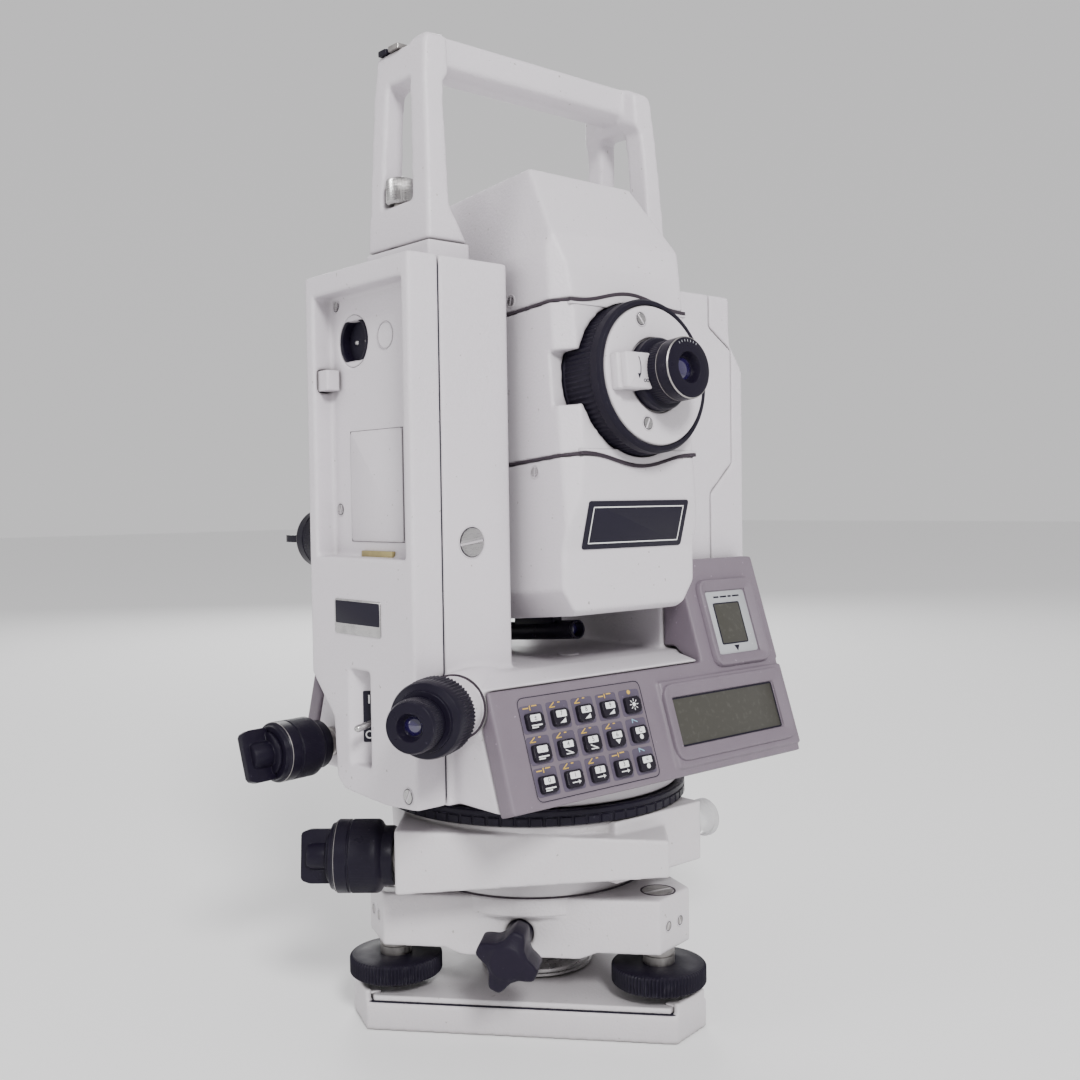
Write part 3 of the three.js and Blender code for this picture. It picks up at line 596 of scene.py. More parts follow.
def build_tribrach():
    dress("base_plate", PAINT_WARM, 0.6, 7)
    slab("spring_plate_gap", flat_corners(44.6, 72.0), 10.1, 10.6, INK, "base", TRIBRACH, 0)
    dress("spring_plate", PAINT_WARM, 0.4, 2, 0.08)
    dress("tribrach_body", PAINT_WARM, 0.6, 12)
    for index, angle in enumerate(FOOT_ANGLES):
        build_foot_screw(index + 1, angle)
        cap = foot_place(angle, 51.3)
        head = half_discs(5.7, 1.0, -0.5, 0.15, 35 + 40 * index)
        head.append(lathe_mesh([(0, -0.7), (5.7, -0.7), (5.7, -0.35), (0, -0.35)], 48))
        joined(f"foot_cap_{index + 1}", head, STEEL_WORN, "base", cap)
        rim = [(5.9, -0.6), (6.7, -0.6), (6.7, 0.08), (6.3, 0.16), (5.9, 0.02)]
        lathe(f"foot_cap_rim_{index + 1}", rim, GASKET, "base", cap, 64)
        out = Vector((sin(angle), -cos(angle), 0))
        side = Vector((cos(angle), sin(angle), 0))
        for k, across in enumerate((-4.5, 3.5)):
            point = out * 66.0 + side * across + Vector((0, 0, 40.5))
            slotted_screw(f"adjusting_screw_{index + 1}_{k + 1}", point, out, 1.5, "base", 60 + 50 * k,
                          TRIBRACH, STEEL_WORN, 0.1, 0.3)
        bracket = TRIBRACH @ Matrix.Rotation(angle, 4, "Z") @ Matrix.Translation((0, -70.8, 10.6))
        plate = rect(17.6, 4.6, 0.6, 0, 1.6)
        slab(f"corner_clip_{index + 1}", plate, 2.15, 3.0, PAINT_WARM, "base", bracket, 0.25)
    seat = [(43, 45), (45.55, 45), (45.55, 50.7), (45.1, 51.35), (43, 51.35)]
    lathe("tribrach_seat", seat, PAINT_WARM, "base", TRIBRACH, 160)
    joint = [(43, 51.2), (45.0, 51.2), (45.0, 51.9), (43, 51.9)]
    lathe("seat_gasket", joint, GASKET, "base", TRIBRACH, 160)
    ring = [(7.9, 0.6), (20.2, 0.6), (20.2, 13.2), (22.0, 13.2), (22.4, 13.6), (22.4, 14.5), (21.7, 14.8),
            (21.7, 15.5), (22.2, 15.7), (22.2, 16.2), (21.8, 16.6), (17, 16.6), (16.6, 16.2), (12, 16.2),
            (11.6, 16.6), (8.3, 16.6), (7.9, 16.2)]
    piece = lathe("centring_ring_turned", ring, STEEL, "base", TRIBRACH, 128)
    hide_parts("centring_ring")
    place = shift(facing((0, -61, 37.5), FRONT, base=TRIBRACH), turn=-24)
    rims = ((-2.8, 6.4), (-2.5, 7.2), (-1.6, 7.55), (9.0, 7.45), (9.6, 7.3), (10.1, 6.85), (10.3, 6.3))
    star = [star_loop(height, radius, 3.9) for height, radius in rims]
    top = [star_loop(*rim) for rim in ((10.5, 6.2), (10.75, 6.0), (10.9, 5.0), (11.0, 2.0))]
    piece = joined("tribrach_star_grip", [lofted_mesh(star + top)], STAR, "tribrach_clamp", place, 50)
    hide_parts("tribrach_clamp_knob")
    stem = [(0, -24), (5, -24), (5, -3), (0, -3)]
    lathe("tribrach_star_stem", stem, BLACK, "tribrach_clamp", place, 48)
    level = TRIBRACH @ Matrix.Translation((-48, 27.7, 0))
    cup = [(0, 50.3), (8.6, 50.3), (8.6, 54.2), (8.1, 54.8), (6.7, 54.8), (6.5, 54.2), (0, 54.2)]
    piece = lathe("circular_level_cup", cup, STEEL, "base", level, 72)
    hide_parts("circular_level")
    dome = [(0, 54.0), (6.5, 54.0), (6.5, 54.6), (5, 55.3), (2.6, 55.7), (0, 55.8)]
    lathe("circular_level_glass", dome, LEVEL, "base", level, 64)
    bubble = [(0, 55.1), (2.0, 55.2), (2.0, 55.7), (1.2, 55.85), (0, 55.88)]
    lathe("circular_level_bubble", bubble, BUBBLE, "base", shift(level, 0.4, -0.3), 40)
    target = [(2.9, 55.3), (3.1, 55.3), (3.1, 55.72), (2.9, 55.75)]
    lathe("circular_level_target", target, INK, "base", level, 48)
    arm = [(0, 38), (10.4, 38), (11.05, 38.6), (11.05, 49.5), (10.5, 50.05), (8.7, 50.05), (0, 50.05)]
    lathe("circular_level_seat", arm, PAINT_WARM, "base", level, 80)


# ---------- knobs and levers ----------
def build_clamp_pair(prefix, point, direction, radius, sleeve, turn, base):
    place = facing(point, direction, base=base)
    knob_body, lever_body = f"{prefix}_tangent", f"{prefix}_clamp"
    r, s = radius, sleeve
    profile = [(0, s), (0.8 * r, s), (0.82 * r, s + 0.6), (0.82 * r, s + 3.8), (0.86 * r, s + 4.3),
               (r - 0.5, s + 5.2), (r, s + 6.2), (r, s + 8.2, 1), (r, s + 15.0, 1), (r, s + 15.4),
               (r - 0.35, s + 15.6), (r - 0.35, s + 16.2), (r, s + 16.4), (r, s + 20.6), (r - 0.5, s + 21.4),
               (r - 1.0, s + 21.6), (r - 1.4, s + 22.9), (r - 3, s + 23), (0, s + 23)]
    piece = lathe(f"{prefix}_knob_grip", profile, BLACK, knob_body, place, 600, 120, 0.14)
    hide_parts(f"{prefix}_tangent_knob")
    worn = [(r - 0.6, s + 20.6), (r + 0.01, s + 20.6), (r + 0.01, s + 20.7), (r - 0.08, s + 20.8),
            (r - 0.6, s + 20.8)]
    lathe(f"{prefix}_knob_line", worn, STEEL_WORN, knob_body, place, 96)
    stem = [(0, 0.3), (0.5 * r, 0.3), (0.5 * r, 0.3 * s), (0.46 * r, 0.36 * s), (0.46 * r, 0.5 * s),
            (0.5 * r, 0.56 * s), (0.5 * r, s + 0.3), (0, s + 0.3)]
    lathe(f"{prefix}_knob_stem", stem, STEEL_WORN, knob_body, place, 72)
    wing = shift(place, 0, 0, s + 23.3, turn)
    plate = soft([(-9.8, 0), (9.8, 0), (9.8, 8.2), (8.6, 11.5), (-8.6, 11.5), (-9.8, 8.2)], 0.9, 4)
    flat = slab_mesh(plate, -1.4, 1.4, 0.5, 3, True)
    flat.transform(Matrix(((1, 0, 0, 0), (0, 0, 1, 0), (0, 1, 0, 0), (0, 0, 0, 1))))
    flat.flip_normals()
    hub = lathe_mesh([(0, 0), (5, 0), (5.2, 0.4), (5.0, 7.6), (4.4, 9.0), (2.2, 9.2), (0, 9.0)], 64)
    foot = lathe_mesh([(0, 0), (0.7 * r, 0), (0.7 * r, 0.9), (0.64 * r, 1.3), (0, 1.3)], 72)
    piece = joined(f"{prefix}_lever_wing", [flat, hub, foot], BLACK, lever_body, wing, 40)
    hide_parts(f"{prefix}_clamp_lever")


# ---------- lower base and circle ring ----------
def build_lower_base():
    dress("lower_base", PAINT_WARM, 0.6, 10)
    drum = [(40, 51.65), (44.3, 51.65), (45.2, 52.6), (45.55, 54), (46.1, 58), (47.2, 60.6), (56.2, 66.2),
            (56.7, 67.4), (57.55, 81.2), (57.1, 81.75), (47.05, 81.75), (47.05, 88.02), (40, 88.02)]
    lathe("lower_base_drum", drum, PAINT_WARM, "base", LOWER, 192)
    groove = [(45.4, 59.2), (46.6, 59.2), (46.9, 60.0), (45.8, 60.0)]
    lathe("lower_base_groove", groove, GASKET, "base", LOWER, 160)
    place = facing((38.4, -47.6, 70.4), (1, 0, 0))
    cap = [(0, 0.3), (6.2, 0.3), (6.2, 7.4), (6.6, 8.1), (7.2, 8.3), (7.4, 8.8), (7.4, 10.6), (7, 11.2),
           (5.6, 11.6), (5.0, 12.0), (0, 12.0)]
    piece = lathe("lower_cap_moulding", cap, CLEAR, "base", place, 80)
    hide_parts("lower_cap")
    ring = [(47.4, 82), (59.4, 82), (60.2, 82.4, 1), (60.2, 85.1, 1), (59.7, 85.3), (59.7, 85.6),
            (60.2, 85.9), (60.2, 87.4), (59.6, 87.9), (47.4, 87.9)]
    piece = lathe("circle_ring_notched", ring, BLACK, "circle_ring", WORLD, 1152, 72, 0.55, square=0.9)
    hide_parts("circle_ring")


# ---------- alidade ----------
OUT_LEFT = (-1, 0, 0)
LEFT_FACE, BAY_FACE, RIGHT_FACE = -81.9, -73.6, 82.3
PLUMMET = (-cos(radians(31.5)), -sin(radians(31.5)), 0)


def build_castings():
    dress("alidade_frame", PAINT, 0.7, 16, 0.12)
    dress("left_cover", PAINT, 0.6, 14)
    dress("right_cover", PAINT, 0.6, 22)
    dress("battery_catch", PAINT, 0.3, 6)
    skirt = [(54, 88.25), (57.0, 88.25), (57.55, 88.8), (57.55, 93.2), (54, 93.2)]
    lathe("alidade_skirt", skirt, PAINT, "alidade", WORLD, 192)
    slotted_screw("casting_cap", (-56.7, -34.4, 183.8), FRONT, 5.0, "alidade", 8, slit=0.2, proud=0.6)
    slotted_screw("bay_screw_top", (BAY_FACE, 24.2, 271.6), OUT_LEFT, 1.7, "alidade", 70)
    slotted_screw("bay_screw_mid", (BAY_FACE, 23.7, 195.7), OUT_LEFT, 1.9, "alidade", 65)
    slotted_screw("cover_screw_low", (LEFT_FACE, -29.3, 97.6), OUT_LEFT, 2.4, "alidade", 60)
    for k, (y, z) in enumerate(((-28, 101), (28, 101), (28, 276), (-28, 276))):
        point = (RIGHT_FACE, y, z)
        slotted_screw(f"right_cover_screw_{k + 1}", point, (1, 0, 0), 2.3, "alidade", 20 + 35 * k)


def build_left_cover_details():
    outline = [(-33.9, 93.8), (-15.2, 92.4), (11.3, 93.8), (16.0, 97.2), (17.8, 119.3), (32.5, 134.6),
               (32.5, 282.0), (-33.9, 282.0)]
    seam = slab_mesh(soft(outline, 3.0), -0.25, 0.25, 0)
    turn = Matrix(((0, 0, 1, -69.25), (1, 0, 0, 0), (0, 1, 0, 0), (0, 0, 0, 1)))
    joined("left_cover_seam", [seam], INK, "alidade", turn)
    bay = facing((BAY_FACE, 0, 0), OUT_LEFT)
    door = rect(33.3, 40.3, 1.2, 1.0, 204.2)
    slab("battery_door", door, -0.4, 0.35, PAINT, "alidade", bay, 0.25)
    line = [rect(33.9, 0.25, 0.05, 1.0, 184.0), rect(33.9, 0.25, 0.05, 1.0, 224.4),
            rect(0.25, 40.6, 0.05, -15.95, 204.2), rect(0.25, 40.6, 0.05, 17.95, 204.2)]
    marks("battery_door_line", line, GASKET, "alidade", bay, 0.08)
    boss = lathe_mesh([(4.6, 0.0), (5.0, 0.0), (5.0, 0.25), (4.8, 0.35), (4.6, 0.25)], 64)
    joined("bay_boss", [boss], PAINT, "alidade", shift(bay, 8, 257.5))
    flap = slab_mesh(rect(20, 2.6, 0.3, 2, 179.4), 0, 1.3, 0.2)
    joined("bay_spring", [flap], BRASS, "alidade", bay)
    socket = facing((-73.3, 13.4, 257.7), OUT_LEFT)
    cup = lathe_mesh([(9.2, -12), (9.2, -0.3), (8.9, 0), (8.2, 0), (7.9, -0.4), (7.9, -9.6), (0, -9.6),
                      (0, -12)], 72)
    for vertex in cup.vertices:
        vertex.co.y = max(-7.4, min(7.4, vertex.co.y))
    piece = joined("battery_socket_cup", [cup], BLACK, "alidade", socket)
    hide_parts("battery_socket")
    chords = []
    for sign in (1, -1):
        arc = circle(9.5, 20, 0, 0, radians(50), radians(130))
        chords.append(slab_mesh([(x, sign * y) for x, y in arc], -3, -0.1, 0.1))
    joined("battery_socket_flats", chords, PAINT, "alidade", socket)
    pins = []
    for x in (-3.4, 3.4):
        pins.append(lathe_mesh([(0, -9.6), (1.2, -9.6), (1.2, -4.0), (0.7, -3.3), (0, -3.1)], 24))
        pins[-1].transform(Matrix.Translation((x, 0, 0)))
    joined("battery_socket_pins", pins, STEEL, "alidade", socket)
    outer = facing((LEFT_FACE, 0, 0), OUT_LEFT)
    slab("blank_plate", rect(29.9, 12.6, 0.8, -0.4, 157.0), 0, 0.3, STEEL, "alidade", outer, 0.12)
    slab("blank_plate_field", rect(28.7, 8.2, 0.5, -0.4, 158.6), 0.25, 0.36, INK, "alidade", outer, 0.05)
    switch = facing((-75.5, 1.28, 120.6), (-0.679, -0.734, 0))
    slab("switch_plate", rect(7.2, 18.6, 0.4), -0.3, 0.3, INK, "alidade", switch, 0.1)
    marks("switch_mark_on", stroke([(-1.4, 4.9), (-1.4, 7.7)], 0.55), WHITE, "alidade", shift(switch, z=0.31))
    off = lathe_mesh([(1.0, 0), (1.5, 0), (1.5, 0.06), (1.0, 0.06)], 40)
    joined("switch_mark_off", [off], WHITE, "alidade", shift(switch, -1.4, -6.6, 0.31))
    lever = facing((-73.6, -3.9, 120.6), (-0.978, 0, -0.208))
    bat = [(0, -0.4), (1.7, -0.4), (1.7, 0.5), (1.1, 0.9), (0.95, 2), (1.25, 9), (1.35, 12.2), (0.9, 13.1),
           (0, 13.3)]
    piece = lathe("power_switch_bat", soft(bat, 0.3, 2, False), STEEL, "power_switch", lever, 40)
    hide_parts("power_switch_lever")
    nut = [(1.9, -0.6), (3.0, -0.6), (3.0, 0.3), (2.7, 0.6), (1.9, 0.6)]
    lathe("power_switch_nut", nut, STEEL_WORN, "alidade", facing((-73.2, -3.9, 120.6), OUT_LEFT), 6, sharp=10)


def build_plummet():
    place = facing((0, 0, 129), PLUMMET)
    boss = [(11.0, 60), (11.25, 60), (11.25, 85.4), (10.9, 86.0), (10.25, 86.2), (10.25, 99), (6, 99),
            (6, 60)]
    lathe("plummet_boss", boss, PAINT, "alidade", place, 96)
    gasket = [(10.2, 85.9), (11.32, 85.9), (11.32, 86.25), (10.2, 86.25)]
    lathe("plummet_gasket", gasket, GASKET, "alidade", place, 96)
    ring = [(6.8, 99.3), (12.0, 99.3), (12.9, 99.9, 1), (12.9, 106.3, 1), (12.6, 106.8), (12.5, 110.6),
            (12.0, 111.8), (10.6, 112.4), (10.0, 112.6), (9.8, 114), (6.8, 114)]
    piece = lathe("plummet_focus_grip", ring, BLACK, "plummet_focus", place, 384, 64, 0.5)
    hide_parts("plummet_focus_ring")
    eye = [(0, 114.2), (7.9, 114.2), (8.1, 114.6), (8.1, 116.6), (8.6, 117.0, 1), (8.6, 121.8, 1),
           (8.4, 122.6), (7.9, 123.6), (4.5, 123.7), (4.0, 123.0), (3.3, 120.4), (0, 120.4)]
    piece = lathe("plummet_eyepiece_cup", eye, BLACK, "plummet_eyepiece", place, 432, 72, 0.24)
    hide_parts("plummet_eyepiece")
    glass = [(0, 120.3), (3.2, 120.3), (2.2, 121.0), (0, 121.3)]
    lathe("plummet_lens", glass, LENS, "plummet_eyepiece", place, 40)


# ---------- keyboard and displays ----------
KEY_PITCH = (11.75, 10.67)
KEY_CENTRE = -27.15
BAR_MARK = (((0, 0.9), (2.2, 0.9)), ((3, 0.2), (3, 1.6)), ((4, 1.5), (6, 1.5)))
ANGLE_MARK = (((0, 0), (2.4, 0)), ((0, 0), (2.2, 1.5)), ((4, 1.4), (4.9, 1.4)))
CORNER_MARK = (((2, 0.4), (2, 1.7)), ((2, 1.7), (4.4, 0.5)))
KEY_TEXT = ("±", "7", "8", "9", "", ".", "4", "5", "6", "C", "0", "1", "2", "3", "=")


def key_spot(number, centre=KEY_CENTRE):
    """Where a key stands on its panel: five to a row, counted from the top left."""
    return centre + (number % 5 - 2) * KEY_PITCH[0], -(number // 5 - 1) * KEY_PITCH[1]


def key_icon(number):
    """Simple line marks under the numerals."""
    if number == 4:
        directions = [Vector((cos(a * pi / 4), sin(a * pi / 4))) for a in range(8)]
        rays = [stroke([1.3 * out, 2.0 * out], 0.3)[0] for out in directions]
        return [circle(0.8, 16)] + rays
    if number % 5 == 4:
        return [circle(0.9, 16, 0, -1.2)]
    if number % 5 == 0:
        return stroke([(-2.2, -1.4), (2.2, -1.4)], 0.5) + stroke([(-2.2, -2.1), (0.4, -2.1)], 0.4)
    if number in (1, 2, 3):
        return [[(-1.4, -2.1), (1.5, -2.1), (1.5, -0.5)]]
    if number in (6, 7):
        return stroke([(-1.6, -0.7), (1.6, -2.1)], 0.35) + stroke([(-1.6, -2.1), (1.6, -2.1)], 0.35)
    if number == 8:
        return [[(-1.3, -0.6), (0, -2.2), (1.3, -0.6)]]
    return stroke([(-1.8, -1.3), (1.8, -1.3)], 0.35) + [[(1.0, -0.6), (2.2, -1.3), (1.0, -2.0)]]


def build_keys(panel, prefix, centre, low, high, edge, moving):
    """Fifteen keys with their marks on one face; each moving key replaces the CAD key of its number."""
    for number in range(15):
        place = shift(panel, *key_spot(number, centre))
        key = f"key_{number + 1:02d}"
        body = key if moving else "alidade"
        name = f"{prefix}_{key}"
        cap = slab_mesh(rect(7.5, 5.9, 1.3, steps=5), low, high, edge, 3)
        piece = joined(name, [cap], KEY, body, place)
        if moving:
            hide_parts(key)
        top = shift(place, z=high - 0.02)
        if KEY_TEXT[number]:
            marks(name + "_field", [rect(4.6, 2.3, 0.4, 0, 1.1)], WHITE, body, top)
            numeral = text_mesh(KEY_TEXT[number], 2.3)
            joined(name + "_numeral", [numeral], INK, body, shift(top, 0, 1.15, 0.05))
        marks(name + "_icon", key_icon(number), WHITE, body, top)


def build_key_ground(panel, prefix):
    plate = [(-56.3, -16.4), (2.9, -16.4), (2.9, 19.4), (-56.3, 19.4)]
    slab(prefix + "_key_plate", soft(plate, 2.2, 5), -0.2, 0.12, PLATE, "alidade", panel, 0.1)
    outline = frame_mesh(58.4, 35.0, 2.6, [(0, 0), (0.26, 0), (0.26, 0.07), (0, 0.07)], -26.7, 1.5)
    joined(prefix + "_key_plate_line", [outline], INK, "alidade", shift(panel, z=0.1))
    grounds, yellow, blue = [], [], []
    for number in range(15):
        row, column = number // 5, number % 5
        x, y = key_spot(number)
        grounds.append(rect(10.2, 9.6, 1.2, x, y + 0.9))
        left, base = x - 3.4, y + 3.9
        if column in (0, 3) and row != 1:
            yellow += strokes(BAR_MARK, 0.4, left, base)
        elif column < 4:
            yellow += strokes(ANGLE_MARK, 0.35, left, base)
        elif row == 0:
            yellow.append(circle(0.8, 20, x, base + 0.9))
        else:
            blue += strokes(CORNER_MARK, 0.35, left, base)
        if column == 0 and row < 2:
            blue.append([(x + 4.3, y - 0.6), (x + 5.1, y - 0.6), (x + 4.7, y + 0.5)])
    marks(prefix + "_key_grounds", grounds, KEY_GROUND, "alidade", shift(panel, z=0.1))
    marks(prefix + "_yellow_marks", yellow, YELLOW, "alidade", shift(panel, z=0.16))
    marks(prefix + "_blue_marks", blue, BLUE, "alidade", shift(panel, z=0.16))


def build_displays(panel, prefix, side, nodes=()):
    """The wide display and the small window above it; side is -1 where the layout is in mirror image."""
    wide, small_x, inner_x = side * 46.9, side * 63.2, side * 62.5
    screen = slab(prefix + "_display", rect(59.0, 17.9, 0.6, wide, 1.35), -0.5, 0.2, DISPLAY, "alidade",
                  panel, 0.1)
    rim = frame_mesh(58.4, 17.3, 0.5, [(0, 0), (0.5, 0), (0.5, 0.2), (0, 0.2)], wide, 1.35)
    joined(prefix + "_display_rim", [rim], INK, "alidade", shift(panel, z=0.16))
    lip = [(0.05, -0.2), (0.05, 1.3), (3.6, 2.6), (4.3, 2.75), (4.9, 2.6), (5.1, 2.2), (5.1, 1.2),
           (5.1, -0.2)]
    joined(prefix + "_display_frame", [frame_mesh(59.9, 18.8, 0.4, lip, wide, 1.35)], PANEL, "alidade", panel)
    label = rect(24.2, 26.0, 0.8, small_x, 37.1)
    slab(prefix + "_window_plate", label, -0.75, -0.4, LABEL, "alidade", panel, 0.1)
    small = slab(prefix + "_small_display", rect(15.3, 16.5, 0.4, inner_x, 36.6), -0.6, -0.2, DISPLAY,
                 "alidade", panel, 0.1)
    rim = frame_mesh(14.9, 16.1, 0.4, [(0, 0), (0.5, 0), (0.5, 0.25), (0, 0.25)], inner_x, 36.6)
    joined(prefix + "_small_display_rim", [rim], INK, "alidade", shift(panel, z=-0.4))
    lip = [(0.05, -0.7), (0.05, 0.3), (2.9, 1.9), (3.6, 2.05), (4.2, 1.8), (4.8, 0.7), (4.9, 0.3),
           (4.9, -0.7)]
    joined(prefix + "_window_frame", [frame_mesh(24.3, 26.1, 0.4, lip, small_x, 37.1)], PANEL, "alidade",
           panel)
    dashes = []
    for start, end in ((-7.0, -4.2), (-3.0, 0.6), (1.8, 3.4), (4.6, 8.4)):
        dashes += stroke([(small_x + start, 47.6), (small_x + end, 47.6)], 0.7)
    arrow = [[(small_x - 2.0, 27.4), (small_x + 1.2, 27.4), (small_x - 0.4, 25.0)]]
    marks(prefix + "_window_marks", dashes + arrow, INK, "alidade", shift(panel, z=-0.41))
    if nodes:
        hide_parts(nodes[0])
        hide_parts(nodes[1])


def build_panels():
    dress("front_bezel", PANEL, 0.45, 28, 0.12)
    dress("rear_bezel", PANEL, 0.5, 24, 0.12)
    build_key_ground(PANEL_FRONT, "front")
    build_keys(PANEL_FRONT, "front", KEY_CENTRE, -0.9, 1.7, 0.55, True)
    build_displays(PANEL_FRONT, "front", 1, ("front_main_lcd", "front_small_lcd"))
    build_rear(facing((0, 62.3, 112.9), (0, cos(TILT), sin(TILT))))


def build_rear(rear):
    """The rear face has the same layout in mirror image; its marks are written the right way round."""
    mat = slab_mesh(rect(57.6, 34.6, 2.0, -KEY_CENTRE, 1.7), -1.3, 0.1, 0.2)
    piece = joined("rear_key_plate", [mat], PLATE, "alidade", rear)
    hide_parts("rear_key_mat")
    build_keys(rear, "rear", -KEY_CENTRE, -0.6, 1.45, 0.5, False)
    build_displays(rear, "rear", -1)


# ---------- tray, level and handle ----------
def build_tray():
    lathe("tray_cap", [(0, 137.6), (4.3, 137.6), (4.3, 138.3), (3.9, 138.6), (0, 138.6)], PAINT, "alidade",
          Matrix.Translation((0.3, -20.9, 0)), 48)
    block = slab_mesh(rect(44, 9, 1.2), 0.3, 4.6, 0.5, 2)
    place = Matrix.Translation((0, 47.1, 138))
    piece = joined("plate_level_base", [block], BLACK, "alidade", place)
    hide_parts("plate_level")
    tube = facing((-20, 47.1, 143.2), (1, 0, 0))
    lathe("plate_level_tube", [(0, 0), (3.4, 0), (4.1, 0.8), (4.1, 8), (3.7, 8.4), (3.7, 31.6), (4.1, 32),
                               (4.1, 39.2), (3.4, 40), (0, 40)], STEEL, "alidade", tube, 48)
    lathe("plate_level_vial", [(0, 8.5), (3.95, 8.5), (3.95, 31.5), (0, 31.5)], LEVEL, "alidade", tube, 48)
    lathe("plate_level_bubble", [(0, 15.5), (1.6, 16.2), (2.2, 18), (2.2, 22), (1.6, 23.8), (0, 24.5)],
          BUBBLE, "alidade", shift(tube, 0, 2.0), 32)


def build_handle():
    dress("handle", PAINT, 0.6, 30)
    for side, name in ((-1, "left"), (1, "right")):
        place = Matrix.Translation((side * 57.3, 4.3, 0))
        head = [(0, 307.8), (4.4, 307.8), (5.0, 308.3, 0.5), (5.4, 308.8, 1), (5.4, 316.4, 1),
                (4.9, 317.1, 0.5), (4.2, 317.4), (1.6, 317.4), (1.2, 316.6), (0, 316.6)]
        piece = lathe(f"handle_screw_{name}_head", head, STEEL, f"handle_screw_{name}", place, 360, 60, 0.35)
        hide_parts(f"handle_screw_{name}")
        shank = [(0, 290), (2.6, 290), (2.6, 307.9), (0, 307.9)]
        lathe(f"handle_screw_{name}_shank", shank, STEEL_WORN, f"handle_screw_{name}", place, 32)
    for k, (y, width, material) in enumerate(((5.2, 6.4, STEEL_WORN), (12.4, 5.0, BLACK))):
        clip = slab_mesh(rect(5.6, width, 0.5), -0.3, 1.5, 0.3)
        joined(f"compass_clip_{k + 1}", [clip], material, "alidade", Matrix.Translation((-56.4, y, 364.9)))


# ---------- telescope ----------
PLAN = [(-28, -59.8), (28, -59.8), (33.8, -54), (33.8, 54), (28, 60), (-28, 60), (-33.8, 54), (-33.8, -54)]


